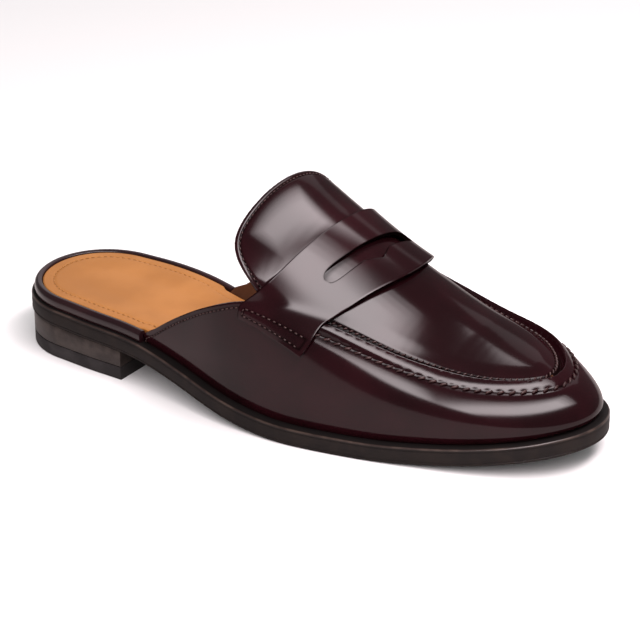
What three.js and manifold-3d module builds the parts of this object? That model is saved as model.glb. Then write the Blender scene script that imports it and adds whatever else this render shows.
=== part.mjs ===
// Loafer mule for the right foot: leather sole and stacked heel, a footbed with a bound edge, and a
// hollow upper with a raised apron seam, an open back, a tongue and a slotted saddle strap.
// Millimetres, +Z up, +X to the toe, the outer side of the foot at -Y. The ground is z = 0.
import * as THREE from 'three';
import Module from 'manifold-3d';

const wasm = await Module();
wasm.setup();

// Driving sizes of the last and the bottom
const SOLE_LENGTH = 295;
const BALL_WIDTH = 100;
const HEEL_WIDTH = 72;
const SOLE_THICKNESS = 8;
const SOLE_EDGE_ROUND = 0.8;
const HEEL_SEAT_HEIGHT = 17.1;
const TOP_PIECE_THICKNESS = 6.3;
const HEEL_LENGTH = 72;
const HEEL_STEP = 0.7;
const TOE_SPRING = 12;
const CLEARANCE = 0.3;

// Driving sizes of the footbed
const INSOLE_THICKNESS = 4.6;
const BINDING_WIDTH = 3.9;
const BINDING_HEIGHT = 5.6;
const BINDING_MARGIN = 1.5;
const BINDING_END_GAP = 1;

// Driving sizes of the upper
const WELT_MARGIN = 4.7;
const UPPER_WALL = 2;
const INSTEP_HEIGHT = 92;
const SEAM_STEP = 1.5;
const SEAM_WIDTH = 1.6;
const QUARTER_BACK_OUTER = 83;
const QUARTER_BACK_INNER = 90;
const TONGUE_WALL = 1.8;
const TONGUE_LAP = 10;
const TONGUE_LENGTH = 26;
const TONGUE_SIDE_SWEEP = 17;
const TONGUE_CORNER = 20;
const TONGUE_SKEW = 3;
const TONGUE_CLEARANCE = 0.9;
const TONGUE_DEPTH = 0.85;
const JOGGLE = 5;
const STRAP_STATION = 186;
const STRAP_WIDTH = 30;
const STRAP_WALL = 1.8;
const STRAP_CLEARANCE = 0.55;
const SLOT_LENGTH = 59;
const SLOT_WIDTH = 5.6;
const SLOT_NOTCH = 3;
const SLOT_NOTCH_SPAN = 0.28;

// Mesh fineness
const WELD = 0.002;
const SOLE_STEPS = 60;
const UPPER_STEPS = 40;
const WALL_COLUMNS = 7;
const CROWN_COLUMNS = 18;
const SHOULDER_SHARE = 0.6;
const STRAP_STEPS = 40;
const STRAP_COLUMNS = 6;
const SLOT_STEPS = 16;
const STRETCH_PASSES = 12;
const TONGUE_STEPS = 16;

// Outline of the sole edge: half widths as shares of the named width that each row follows
const OUTLINE = [
  { along: 0.00, outer: 0.510, inner: 0.479, of: HEEL_WIDTH },
  { along: 0.10, outer: 0.510, inner: 0.479, of: HEEL_WIDTH },
  { along: 0.17, outer: 0.553, inner: 0.494, of: HEEL_WIDTH },
  { along: 0.26, outer: 0.576, inner: 0.457, of: HEEL_WIDTH },
  { along: 0.36, outer: 0.474, inner: 0.276, of: BALL_WIDTH },
  { along: 0.46, outer: 0.542, inner: 0.315, of: BALL_WIDTH },
  { along: 0.56, outer: 0.560, inner: 0.397, of: BALL_WIDTH },
  { along: 0.66, outer: 0.525, inner: 0.473, of: BALL_WIDTH },
  { along: 0.74, outer: 0.477, inner: 0.506, of: BALL_WIDTH },
  { along: 0.82, outer: 0.413, inner: 0.489, of: BALL_WIDTH },
  { along: 0.90, outer: 0.368, inner: 0.443, of: BALL_WIDTH },
  { along: 1.00, outer: 0.346, inner: 0.389, of: BALL_WIDTH },
];
const HEEL_CAP = 0.115;
const TOE_CAP = 0.20;
const TOE_CAP_POWER = 2.3;

// Underside of the sole: how much of the heel seat height and of the toe spring it has there
const UNDERSIDE = [
  { along: 0.00, heel: 1.000, toe: 0.000 },
  { along: 0.25, heel: 0.854, toe: 0.000 },
  { along: 0.33, heel: 0.673, toe: 0.000 },
  { along: 0.41, heel: 0.421, toe: 0.000 },
  { along: 0.49, heel: 0.129, toe: 0.000 },
  { along: 0.57, heel: 0.000, toe: 0.000 },
  { along: 0.70, heel: 0.000, toe: 0.000 },
  { along: 0.80, heel: 0.000, toe: 0.165 },
  { along: 0.90, heel: 0.000, toe: 0.510 },
  { along: 1.00, heel: 0.000, toe: 1.000 },
];

// Sections of the last. seam and crest are shares of the instep height: the apron seam above the
// sole, and the crown above the seam. outer and inner are shares of the ball width that the seam
// lies inside the sole edge. fullness is the power of the crown's sine, and lean shifts its crest.
const SECTIONS = [
  { along: 0.270, seam: 0.460, crest: 0.410, outer: 0.050, inner: 0.020, fullness: 0.40, lean: 0.06 },
  { along: 0.380, seam: 0.520, crest: 0.410, outer: 0.050, inner: -0.005, fullness: 0.40, lean: 0.08 },
  { along: 0.460, seam: 0.560, crest: 0.443, outer: 0.010, inner: -0.020, fullness: 0.40, lean: 0.12 },
  { along: 0.540, seam: 0.570, crest: 0.318, outer: 0.075, inner: 0.035, fullness: 0.46, lean: 0.04 },
  { along: 0.620, seam: 0.508, crest: 0.233, outer: 0.115, inner: 0.095, fullness: 0.64, lean: 0.02 },
  { along: 0.700, seam: 0.422, crest: 0.168, outer: 0.135, inner: 0.125, fullness: 0.78, lean: 0.02 },
  { along: 0.780, seam: 0.333, crest: 0.120, outer: 0.141, inner: 0.120, fullness: 0.88, lean: 0.02 },
  { along: 0.860, seam: 0.264, crest: 0.074, outer: 0.148, inner: 0.105, fullness: 0.95, lean: 0.00 },
  { along: 0.925, seam: 0.220, crest: 0.036, outer: 0.178, inner: 0.150, fullness: 1.00, lean: 0.00 },
  { along: 1.000, seam: 0.168, crest: 0.000, outer: 0.222, inner: 0.222, fullness: 1.00, lean: 0.00 },
];
// Side wall between sole and seam, a cubic curve: reach is the inset of its first handle as a share
// of the welt margin, and the other handle lies at shares of the way to the seam
const WALL_REACH = -0.22;
const WALL_RISE = 0.30;
const WALL_TURN = 0.52;
const WALL_TOP = 0.95;
const SEAM_BAND = 0.22;
// The raised seam fades out below the strap, between these shares of the length
const SEAM_FADE_FROM = 0.555;
const SEAM_FADE_TO = 0.635;

// Cut of the throat in side view: forward is the share of the way from a quarter's back corner to
// the crest of the throat, outer and inner the height over the sole as shares of the instep height
const THROAT = [
  { forward: 0.000, outer: 0.000, inner: 0.000 },
  { forward: 0.005, outer: 0.030, inner: 0.045 },
  { forward: 0.081, outer: 0.097, inner: 0.100 },
  { forward: 0.185, outer: 0.192, inner: 0.190 },
  { forward: 0.295, outer: 0.288, inner: 0.265 },
  { forward: 0.463, outer: 0.423, inner: 0.345 },
  { forward: 0.610, outer: 0.520, inner: 0.420 },
  { forward: 0.684, outer: 0.553, inner: 0.465 },
  { forward: 0.820, outer: 0.600, inner: 0.575 },
  { forward: 0.905, outer: 0.700, inner: 0.660 },
  { forward: 0.958, outer: 0.770, inner: 0.742 },
  { forward: 0.990, outer: 0.845, inner: 0.835 },
  { forward: 1.000, outer: 1.100, inner: 1.100 },
];
const THROAT_SETBACK = 8;
const CUT_MARGIN = 60;

// Edges of the strap: girth runs from the crest, 0, to the strap's end, 1. back and front are shares
// of the strap's width from its station, and both ends sweep to the heel
const STRAP = [
  { girth: 0.00, back: -0.600, front: 0.500 },
  { girth: 0.15, back: -0.635, front: 0.443 },
  { girth: 0.30, back: -0.695, front: 0.317 },
  { girth: 0.45, back: -0.790, front: 0.183 },
  { girth: 0.60, back: -0.985, front: 0.027 },
  { girth: 0.75, back: -1.245, front: -0.067 },
  { girth: 0.90, back: -1.290, front: -0.157 },
  { girth: 1.00, back: -1.290, front: -0.290 },
];
const STRAP_SEAM_GIRTH = 0.70;
const STRAP_END_BACK = 0.74;
const STRAP_END_FRONT = 0.575;
const STRAP_LIFT = 1;
const SLOT_SWEEP = 3.2;
const SLOT_SKEW = 3;
const SLOT_SHIFT = -2.2;
const SLOT_CENTRE = -4.1;
const SLOT_NOTCH_PLACE = -0.08;
const SLOT_ROUNDNESS = 12;

// Cross section of the binding, as shares of its width, from the edge in, and of its height
const BINDING_PROFILE = [
  { in: 0.10, up: 0.00 },
  { in: 1.00, up: 0.00 },
  { in: 1.00, up: 0.80 },
  { in: 0.80, up: 0.97 },
  { in: 0.50, up: 1.00 },
  { in: 0.20, up: 0.86 },
  { in: 0.02, up: 0.58 },
  { in: 0.00, up: 0.28 },
];
const INSOLE_NARROWING = 0.03;

const OUTER = -1;
const INNER = 1;

// A smooth curve through one column of a table that keeps between its rows
function curve(rows, key, column) {
  const x = rows.map((row) => row[key]);
  const y = rows.map((row) => column(row));
  const last = x.length - 1;
  const slope = x.slice(1).map((value, k) => (y[k + 1] - y[k]) / (value - x[k]));
  const tangent = y.map((_, k) => {
    if (k === 0) return slope[0];
    if (k === last) return slope[last - 1];
    if (slope[k - 1] * slope[k] <= 0) return 0;
    return 2 * slope[k - 1] * slope[k] / (slope[k - 1] + slope[k]);
  });
  return (at) => {
    const where = THREE.MathUtils.clamp(at, x[0], x[last]);
    let k = 0;
    while (k < last - 1 && where > x[k + 1]) k += 1;
    const span = x[k + 1] - x[k];
    const f = (where - x[k]) / span;
    const rise = y[k + 1] - y[k];
    const bend = f * (1 - f) * ((1 - f) * (tangent[k] * span - rise) - f * (tangent[k + 1] * span - rise));
    return y[k] + rise * f + bend;
  };
}

const lerp = THREE.MathUtils.lerp;
const smooth = THREE.MathUtils.smoothstep;
const outerHalf = curve(OUTLINE, 'along', (row) => row.outer * row.of);
const innerHalf = curve(OUTLINE, 'along', (row) => row.inner * row.of);
const underside = curve(UNDERSIDE, 'along', (row) => row.heel * HEEL_SEAT_HEIGHT + row.toe * TOE_SPRING);
const soleTop = (share) => underside(share) + SOLE_THICKNESS;
const seamHeight = curve(SECTIONS, 'along', (row) => row.seam * INSTEP_HEIGHT);
const seamOuter = curve(SECTIONS, 'along', (row) => row.outer * BALL_WIDTH);
const seamInner = curve(SECTIONS, 'along', (row) => row.inner * BALL_WIDTH);
const crest = curve(SECTIONS, 'along', (row) => row.crest * INSTEP_HEIGHT);
const fullness = curve(SECTIONS, 'along', (row) => row.fullness);
const lean = curve(SECTIONS, 'along', (row) => row.lean);

// Round ends of the outline: 1 along the middle, falling to 0 at the heel's back and the toe's tip
function cap(share) {
  const heel = Math.max(0, HEEL_CAP - share) / HEEL_CAP;
  const toe = Math.max(0, share - 1 + TOE_CAP) / TOE_CAP;
  return Math.sqrt(Math.max(0, 1 - heel ** 2)) * Math.sqrt(Math.max(0, 1 - toe ** TOE_CAP_POWER));
}

// A turn of 0 is the heel's back and 0.5 the toe's tip; turns below 0.5 are the outer side
function edgeAt(turn) {
  const share = 0.5 - 0.5 * Math.cos(2 * Math.PI * turn);
  const half = turn - Math.floor(turn) <= 0.5 ? -outerHalf(share) : innerHalf(share);
  return new THREE.Vector2(share * SOLE_LENGTH, half * cap(share));
}

// A point a given distance inside the sole edge, square to it
function insideEdge(share, side, inset) {
  const turn = Math.acos(THREE.MathUtils.clamp(1 - 2 * share, -1, 1)) / (2 * Math.PI);
  const at = side === OUTER ? turn : 1 - turn;
  const step = 1e-4;
  const along = edgeAt(at + step).sub(edgeAt(at - step)).normalize();
  return edgeAt(at).add(new THREE.Vector2(-along.y, along.x).multiplyScalar(inset));
}

// Shares of the length that lie closer together where the outline turns, at the heel and the toe
function spread(from, to, steps) {
  const start = Math.acos(1 - 2 * from);
  const end = Math.acos(1 - 2 * to);
  return Array.from({ length: steps + 1 }, (_, k) => 0.5 - 0.5 * Math.cos(lerp(start, end, k / steps)));
}

// Points that coincide become one corner, and faces that this collapses are dropped
function geometryOf(points, faces) {
  const corners = new Map();
  const corner = points.map((p) => {
    const key = p.toArray().map((value) => Math.round(value / WELD)).join();
    if (!corners.has(key)) corners.set(key, corners.size);
    return corners.get(key);
  });
  const position = new Float32Array(corners.size * 3);
  points.forEach((p, k) => p.toArray(position, corner[k] * 3));
  const kept = faces.map((face) => face.map((k) => corner[k]))
    .filter(([p, q, r]) => p !== q && q !== r && r !== p);
  const geometry = new THREE.BufferGeometry();
  geometry.setAttribute('position', new THREE.BufferAttribute(position, 3));
  geometry.setIndex(kept.flat());
  return { geometry, corner };
}

function solidOf(geometry) {
  return new wasm.Manifold(new wasm.Mesh({
    numProp: 3,
    vertProperties: new Float32Array(geometry.attributes.position.array),
    triVerts: new Uint32Array(geometry.index.array),
  }));
}

function geometryFrom(solid) {
  const mesh = solid.getMesh();
  const geometry = new THREE.BufferGeometry();
  geometry.setAttribute('position', new THREE.BufferAttribute(mesh.vertProperties, 3));
  geometry.setIndex(new THREE.BufferAttribute(mesh.triVerts, 1));
  return geometry;
}

// A closed slab: loops round both sides, one for each level from the lowest up, with straight rungs
// from side to side across its floor and its top
function slab(shares, levels) {
  const rows = shares.length;
  const ring = 2 * rows;
  const points = levels.flatMap((level) => [
    ...shares.map((share) => level(share, OUTER)),
    ...[...shares].reverse().map((share) => level(share, INNER)),
  ]);
  const faces = [];
  for (let k = 0; k < levels.length - 1; k += 1) {
    for (let i = 0; i < ring; i += 1) {
      const [a, b] = [k * ring + i, k * ring + (i + 1) % ring];
      faces.push([a, b, b + ring], [a, b + ring, a + ring]);
    }
  }
  const top = (levels.length - 1) * ring;
  for (let i = 0; i < rows - 1; i += 1) {
    const [a, b, c, d] = [i, i + 1, ring - 2 - i, ring - 1 - i];
    faces.push([a, c, b], [a, d, c]);
    faces.push([top + a, top + b, top + c], [top + a, top + c, top + d]);
  }
  return geometryOf(points, faces).geometry;
}

function levelOf(inset, height) {
  return (share, side) => {
    const p = insideEdge(share, side, typeof inset === 'function' ? inset(share, side) : inset);
    return new THREE.Vector3(p.x, p.y, height(share));
  };
}

// A closed shell between two grids of the same size: skin faces out, lining faces in. A folded last
// row, where both sides meet at the toe, needs no rim
function shell(skin, lining, folded = false) {
  const rows = skin.length;
  const columns = skin[0].length;
  const points = [...skin.flat(), ...lining.flat()];
  const under = rows * columns;
  const faces = [];
  for (let i = 0; i < rows - 1; i += 1) {
    for (let j = 0; j < columns - 1; j += 1) {
      const [a, b, c, d] = [i * columns + j, (i + 1) * columns + j, (i + 1) * columns + j + 1,
        i * columns + j + 1];
      faces.push([a, b, c], [a, c, d]);
      faces.push([under + a, under + c, under + b], [under + a, under + d, under + c]);
    }
  }
  const rim = (a, b) => faces.push([b, a, under + a], [b, under + a, under + b]);
  for (let i = 0; i < rows - 1; i += 1) {
    rim(i * columns, (i + 1) * columns);
    rim((i + 2) * columns - 1, (i + 1) * columns - 1);
  }
  for (let j = 0; j < columns - 1; j += 1) {
    rim(j + 1, j);
    if (!folded) rim((rows - 1) * columns + j, (rows - 1) * columns + j + 1);
  }
  return geometryOf(points, faces).geometry;
}

// The grid moved square to its own surface by a distance that may change over it
function offset(grid, distance) {
  const columns = grid[0].length;
  const faces = [];
  for (let i = 0; i < grid.length - 1; i += 1) {
    for (let j = 0; j < columns - 1; j += 1) {
      const [a, b] = [i * columns + j, (i + 1) * columns + j];
      faces.push([a, b, b + 1], [a, b + 1, a + 1]);
    }
  }
  const { geometry, corner } = geometryOf(grid.flat(), faces);
  geometry.computeVertexNormals();
  const out = new THREE.Vector3();
  return grid.map((row, i) => row.map((p, j) => {
    out.fromBufferAttribute(geometry.attributes.normal, corner[i * columns + j]);
    return p.clone().addScaledVector(out, distance(i, j));
  }));
}

// A point of the side wall: rise is 0 at the sole and 1 at the seam. relief 1 has the raised seam,
// relief 0 the plain wall below it
function wallPoint(share, side, rise, relief) {
  const end = side === OUTER ? seamOuter(share) : seamInner(share);
  const reach = WALL_REACH * WELT_MARGIN;
  const u = 1 - rise;
  const weights = [u ** 3, 3 * rise * u ** 2, 3 * rise ** 2 * u, rise ** 3];
  const insets = [WELT_MARGIN, reach, lerp(reach, end, WALL_TURN), end];
  const heights = [0, WALL_RISE, WALL_TOP, 1];
  const inset = insets.reduce((sum, value, k) => sum + value * weights[k], 0);
  const height = heights.reduce((sum, value, k) => sum + value * weights[k], 0);
  const p = insideEdge(share, side, inset);
  const drop = (1 - relief) * seamStep(share) * smooth(rise, 1 - SEAM_BAND, 1);
  return new THREE.Vector3(p.x, p.y, soleTop(share) + CLEARANCE + height * seamHeight(share) - drop);
}

const seamFade = (share) => smooth(share, SEAM_FADE_FROM, SEAM_FADE_TO);
const seamStep = (share) => SEAM_STEP * seamFade(share);

// A point of the apron and instep, between the two seams: angle runs from 0 at the outer seam to pi
// at the inner one. sunk 1 lies below the raised seam, sunk 0 level with its top
function crownPoint(share, angle, sunk) {
  const ends = [OUTER, INNER].map((side) => {
    const inset = SEAM_WIDTH * seamFade(share) + (side === OUTER ? seamOuter(share) : seamInner(share));
    return insideEdge(share, side, inset);
  });
  const arch = Math.max(Math.sin(angle), 0);
  const across = 0.5 - 0.5 * Math.cos(angle) + lean(share) * arch ** 2;
  const p = ends[0].lerp(ends[1], across);
  const base = soleTop(share) + CLEARANCE + seamHeight(share) - sunk * seamStep(share);
  return new THREE.Vector3(p.x, p.y, base + crest(share) * arch ** (2 * fullness(share)));
}

// Angles over the crown, closer together at its steep shoulders
const CROWN_ANGLES = Array.from({ length: CROWN_COLUMNS + 1 }, (_, k) => {
  const even = 2 * Math.PI * k / CROWN_COLUMNS;
  return (even - SHOULDER_SHARE * Math.sin(even)) / 2;
});

// One section of the upper from the outer side of the sole over the crest to the inner side
function section(share, relief) {
  const wall = (side) => Array.from({ length: WALL_COLUMNS + 1 },
    (_, k) => wallPoint(share, side, k / WALL_COLUMNS, relief));
  const crown = CROWN_ANGLES.map((angle) => crownPoint(share, angle, 1));
  return [...wall(OUTER), ...crown, ...wall(INNER).reverse()];
}

const throatCrest = STRAP_STATION - THROAT_SETBACK;
const quarterBack = (side) => (side === OUTER ? QUARTER_BACK_OUTER : QUARTER_BACK_INNER);
const throatColumn = (side) => (row) => (side === OUTER ? row.outer : row.inner) * INSTEP_HEIGHT;

// The cut that opens the throat and the back, on one side of the shoe's middle plane
function throatCutter(side) {
  const back = quarterBack(side);
  const floor = (at) => soleTop(at / SOLE_LENGTH) + CLEARANCE;
  const shape = new THREE.Shape();
  shape.moveTo(back, -CUT_MARGIN);
  for (const row of THROAT) {
    const at = lerp(back, throatCrest, row.forward);
    shape.lineTo(at, floor(at) + throatColumn(side)(row));
  }
  shape.lineTo(throatCrest, INSTEP_HEIGHT + CUT_MARGIN);
  shape.lineTo(-CUT_MARGIN, INSTEP_HEIGHT + CUT_MARGIN);
  shape.lineTo(-CUT_MARGIN, -CUT_MARGIN);
  const depth = BALL_WIDTH + CUT_MARGIN;
  const cutter = new THREE.ExtrudeGeometry(shape, { depth, bevelEnabled: false });
  cutter.rotateX(Math.PI / 2);
  cutter.translate(0, side === OUTER ? 0 : depth, 0);
  return weldedSolid(cutter);
}

function weldedSolid(extruded) {
  const position = extruded.attributes.position;
  const points = Array.from({ length: position.count },
    (_, k) => new THREE.Vector3().fromBufferAttribute(position, k));
  const faces = Array.from({ length: points.length / 3 }, (_, k) => [3 * k, 3 * k + 1, 3 * k + 2]);
  return solidOf(geometryOf(points, faces).geometry);
}

function upperGeometry() {
  const shares = spread(SECTIONS[0].along, 1, UPPER_STEPS);
  const skin = shares.map((share) => section(share, 1));
  const lining = offset(shares.map((share) => section(share, 0)), () => -UPPER_WALL);
  const closed = solidOf(shell(skin, lining, true));
  return geometryFrom(closed.subtract(throatCutter(OUTER)).subtract(throatCutter(INNER)));
}

// Where the throat's edge lies in side view, at a height over the sole
const throatStation = [OUTER, INNER].map((side) => {
  const column = throatColumn(side);
  const rows = THROAT.map((row) => ({ height: column(row), forward: row.forward }));
  return curve(rows, 'height', (row) => lerp(quarterBack(side), throatCrest, row.forward));
});

// The tongue stands out behind the strap, steps down below the throat's edge and laps under it
function tongueGeometry() {
  const mouth = STRAP_STATION + STRAP_WIDTH * STRAP[0].back - TONGUE_LENGTH;
  const front = throatCrest + TONGUE_LAP;
  const sides = [TONGUE_DEPTH, (1 + TONGUE_DEPTH) / 2, 1];
  const column = (share) => [
    ...sides.map((rise) => wallPoint(share, OUTER, rise, 0)),
    ...CROWN_ANGLES.map((angle) => crownPoint(share, angle, 1)),
    ...[...sides].reverse().map((rise) => wallPoint(share, INNER, rise, 0)),
  ];
  const count = column(mouth / SOLE_LENGTH).length;
  const grid = Array.from({ length: TONGUE_STEPS + 1 }, (_, i) => {
    const along = i / TONGUE_STEPS;
    return Array.from({ length: count }, (_, j) => {
      const angle = CROWN_ANGLES[THREE.MathUtils.clamp(j - sides.length, 0, CROWN_COLUMNS)];
      const across = Math.cos(angle);
      const swept = TONGUE_SIDE_SWEEP * Math.abs(across) ** TONGUE_CORNER - TONGUE_SKEW * across;
      return column(lerp(mouth + swept, front, along) / SOLE_LENGTH)[j];
    });
  });
  const sink = (i, j) => {
    const p = grid[i][j];
    const side = j < count / 2 ? 0 : 1;
    const edge = throatStation[side](p.z - soleTop(p.x / SOLE_LENGTH) - CLEARANCE);
    const steep = Math.abs(2 * j / (count - 1) - 1);
    const clear = JOGGLE * (0.5 + 0.5 * steep);
    return (UPPER_WALL + TONGUE_CLEARANCE) * smooth(p.x, edge - JOGGLE - clear, edge - clear);
  };
  const skin = offset(grid, (i, j) => -sink(i, j));
  const lining = offset(grid, (i, j) => -sink(i, j) - TONGUE_WALL);
  return shell(skin, lining);
}

const strapBack = curve(STRAP, 'girth', (row) => row.back);
const strapFront = curve(STRAP, 'girth', (row) => row.front);

// A point that the strap lies on: across 0 is its back edge and 1 its front edge, girth runs from -1
// at the outer end over the crest to 1 at the inner end
function strapSeat(across, girth) {
  const side = girth < 0 ? OUTER : INNER;
  const reach = Math.abs(girth);
  const shift = lerp(strapBack(reach), strapFront(reach), across);
  const share = (STRAP_STATION + STRAP_WIDTH * shift) / SOLE_LENGTH;
  if (reach <= STRAP_SEAM_GIRTH) {
    return crownPoint(share, Math.PI / 2 * (1 + girth / STRAP_SEAM_GIRTH), 0);
  }
  const down = (reach - STRAP_SEAM_GIRTH) / (1 - STRAP_SEAM_GIRTH);
  return wallPoint(share, side, lerp(1, lerp(STRAP_END_BACK, STRAP_END_FRONT, across), down), 1);
}

// The hand slot across the top of the strap, with its small notch to the front
function slotCutter() {
  const half = SLOT_LENGTH / 2;
  const rows = Array.from({ length: SLOT_STEPS + 1 }, (_, k) => -Math.cos(Math.PI * k / SLOT_STEPS));
  const bow = (v) => STRAP_STATION + SLOT_SHIFT - SLOT_SWEEP * v ** 2 + SLOT_SKEW * v;
  const wide = (v) => SLOT_WIDTH / 2 * Math.max(0, 1 - v ** SLOT_ROUNDNESS) ** 0.5;
  const notch = (v) => SLOT_NOTCH * Math.max(0, 1 - Math.abs(v - SLOT_NOTCH_PLACE) / SLOT_NOTCH_SPAN);
  const back = rows.map((v) => new THREE.Vector2(bow(v) - wide(v), SLOT_CENTRE + v * half));
  const front = rows.map((v) => new THREE.Vector2(bow(v) + wide(v) + notch(v), SLOT_CENTRE + v * half));
  const shape = new THREE.Shape([...front, ...back.slice(1, -1).reverse()]);
  const depth = INSTEP_HEIGHT + CUT_MARGIN;
  return weldedSolid(new THREE.ExtrudeGeometry(shape, { depth, bevelEnabled: false }));
}

// Stiff leather bridges hollows below it: a point that lies nearer the sole's middle line than the
// mean of its neighbours moves out to that mean
function stretched(row) {
  const reach = (p) => Math.hypot(p.y, p.z - SOLE_THICKNESS);
  return row.map((p, j) => {
    if (j === 0 || j === row.length - 1) return p;
    const mean = row[j - 1].clone().add(row[j + 1]).multiplyScalar(0.5);
    return reach(mean) > reach(p) ? mean : p;
  });
}

// It bends evenly over small steps as well: each point moves halfway to the mean of its neighbours
function eased(row) {
  return row.map((p, j) => {
    if (j === 0 || j === row.length - 1) return p;
    return row[j - 1].clone().add(row[j + 1]).multiplyScalar(0.5).lerp(p, 0.5);
  });
}

function bridged(row) {
  const taut = Array.from({ length: STRETCH_PASSES }).reduce(stretched, row);
  return eased(eased(taut));
}

function strapGeometry() {
  const seat = Array.from({ length: STRAP_COLUMNS + 1 }, (_, i) => {
    const row = Array.from({ length: STRAP_STEPS + 1 },
      (_, j) => strapSeat(i / STRAP_COLUMNS, 2 * j / STRAP_STEPS - 1));
    return bridged(row);
  });
  const lift = (i) => STRAP_CLEARANCE + STRAP_LIFT * (i / STRAP_COLUMNS) ** 2;
  const skin = offset(seat, (i) => lift(i) + STRAP_WALL);
  const lining = offset(seat, lift);
  return geometryFrom(solidOf(shell(skin, lining)).subtract(slotCutter()));
}

// All pieces of the bottom share their stations, so that their curved sides stay parallel
const stationsTo = (end) => [...spread(0, 1, SOLE_STEPS).filter((share) => share < end - WELD), end];

function outsoleGeometry() {
  return slab(stationsTo(1), [
    levelOf(SOLE_EDGE_ROUND, underside),
    levelOf(0, (share) => underside(share) + SOLE_EDGE_ROUND),
    levelOf(0, (share) => soleTop(share) - SOLE_EDGE_ROUND),
    levelOf(SOLE_EDGE_ROUND, soleTop),
  ]);
}

const breast = HEEL_LENGTH / SOLE_LENGTH;

function heelLiftGeometry() {
  return slab(stationsTo(breast), [
    levelOf(HEEL_STEP, () => TOP_PIECE_THICKNESS + CLEARANCE),
    levelOf(HEEL_STEP, (share) => underside(share) - CLEARANCE),
  ]);
}

function topPieceGeometry() {
  return slab(stationsTo(breast), [
    levelOf(HEEL_STEP + SOLE_EDGE_ROUND / 2, () => 0),
    levelOf(HEEL_STEP, () => SOLE_EDGE_ROUND / 2),
    levelOf(HEEL_STEP, () => TOP_PIECE_THICKNESS),
  ]);
}

// The insole lies inside the binding at the heel and inside the upper's wall further forward
function insoleInset(share, side) {
  const corner = quarterBack(side) / SOLE_LENGTH;
  const inBinding = BINDING_MARGIN + BINDING_WIDTH + CLEARANCE;
  const inUpper = WELT_MARGIN + UPPER_WALL + 2 * CLEARANCE;
  return lerp(inBinding, inUpper, smooth(share, corner - INSOLE_NARROWING, corner - 0.5 * INSOLE_NARROWING));
}

function insoleGeometry() {
  const lift = (height) => (share) => soleTop(share) + CLEARANCE + height;
  const rounded = (share, side) => insoleInset(share, side) + SOLE_EDGE_ROUND;
  return slab(stationsTo(1), [
    levelOf(insoleInset, lift(0)),
    levelOf(insoleInset, lift(INSOLE_THICKNESS - SOLE_EDGE_ROUND)),
    levelOf(rounded, lift(INSOLE_THICKNESS)),
  ]);
}

// The rolled binding round the footbed's heel, from one quarter's back corner to the other
function bindingGeometry() {
  const ends = [OUTER, INNER].map((side) => (quarterBack(side) - BINDING_END_GAP) / SOLE_LENGTH);
  const path = [
    ...stationsTo(ends[0]).reverse().map((share) => [share, OUTER]),
    ...stationsTo(ends[1]).slice(1).map((share) => [share, INNER]),
  ];
  const points = path.flatMap(([share, side]) => BINDING_PROFILE.map((row) => {
    const p = insideEdge(share, side, BINDING_MARGIN + row.in * BINDING_WIDTH);
    return new THREE.Vector3(p.x, p.y, soleTop(share) + CLEARANCE + row.up * (BINDING_HEIGHT - CLEARANCE));
  }));
  const ring = BINDING_PROFILE.length;
  const faces = [];
  for (let i = 0; i < path.length - 1; i += 1) {
    for (let k = 0; k < ring; k += 1) {
      const [a, b] = [i * ring + k, i * ring + (k + 1) % ring];
      faces.push([a, b + ring, b], [a, a + ring, b + ring]);
    }
  }
  const end = (path.length - 1) * ring;
  for (let k = 1; k < ring - 1; k += 1) {
    faces.push([0, k, k + 1], [end, end + k + 1, end + k]);
  }
  return geometryOf(points, faces).geometry;
}

const leather = new THREE.Color(0x35141b);
const FINISHES = {
  burgundy: { color: leather, roughness: 0.22, metalness: 0 },
  edge: { color: new THREE.Color(0x2a1a17), roughness: 0.5, metalness: 0 },
  rubber: { color: new THREE.Color(0x1d1716), roughness: 0.7, metalness: 0 },
  sock: { color: new THREE.Color(0xcd9155), roughness: 0.55, metalness: 0 },
};

function piece(name, geometry, finish) {
  const mesh = new THREE.Mesh(geometry, new THREE.MeshStandardMaterial(FINISHES[finish]));
  mesh.name = name;
  return mesh;
}

const shoe = new THREE.Group();
shoe.add(
  piece('outsole', outsoleGeometry(), 'edge'),
  piece('heel_lift', heelLiftGeometry(), 'edge'),
  piece('top_piece', topPieceGeometry(), 'rubber'),
  piece('insole', insoleGeometry(), 'sock'),
  piece('footbed_binding', bindingGeometry(), 'burgundy'),
  piece('upper', upperGeometry(), 'burgundy'),
  piece('tongue', tongueGeometry(), 'burgundy'),
  piece('saddle_strap', strapGeometry(), 'burgundy'),
);

// The origin lies on the ground below the middle of the shoe
const middle = new THREE.Box3().setFromObject(shoe).getCenter(new THREE.Vector3());
shoe.position.set(-middle.x, -middle.y, 0);

const part = new THREE.Group();
part.add(shoe);

export default part;
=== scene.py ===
# %% [markdown]
# # A polished loafer mule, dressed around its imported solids
# The solids give the right shape and size of every piece. This lesson keeps that shape and adds what a
# close look shows: folded edges, the hand-sewn ridge, stitches, a cupped leather sock, dressed sole
# edges and glossy burgundy leather. Lengths are worked out in millimetres, as a shoemaker would, and
# turned into metres only when a mesh is made.

# %% The frame and its box
import math

import bpy
import numpy as np
from mathutils import Matrix, Vector


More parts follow.
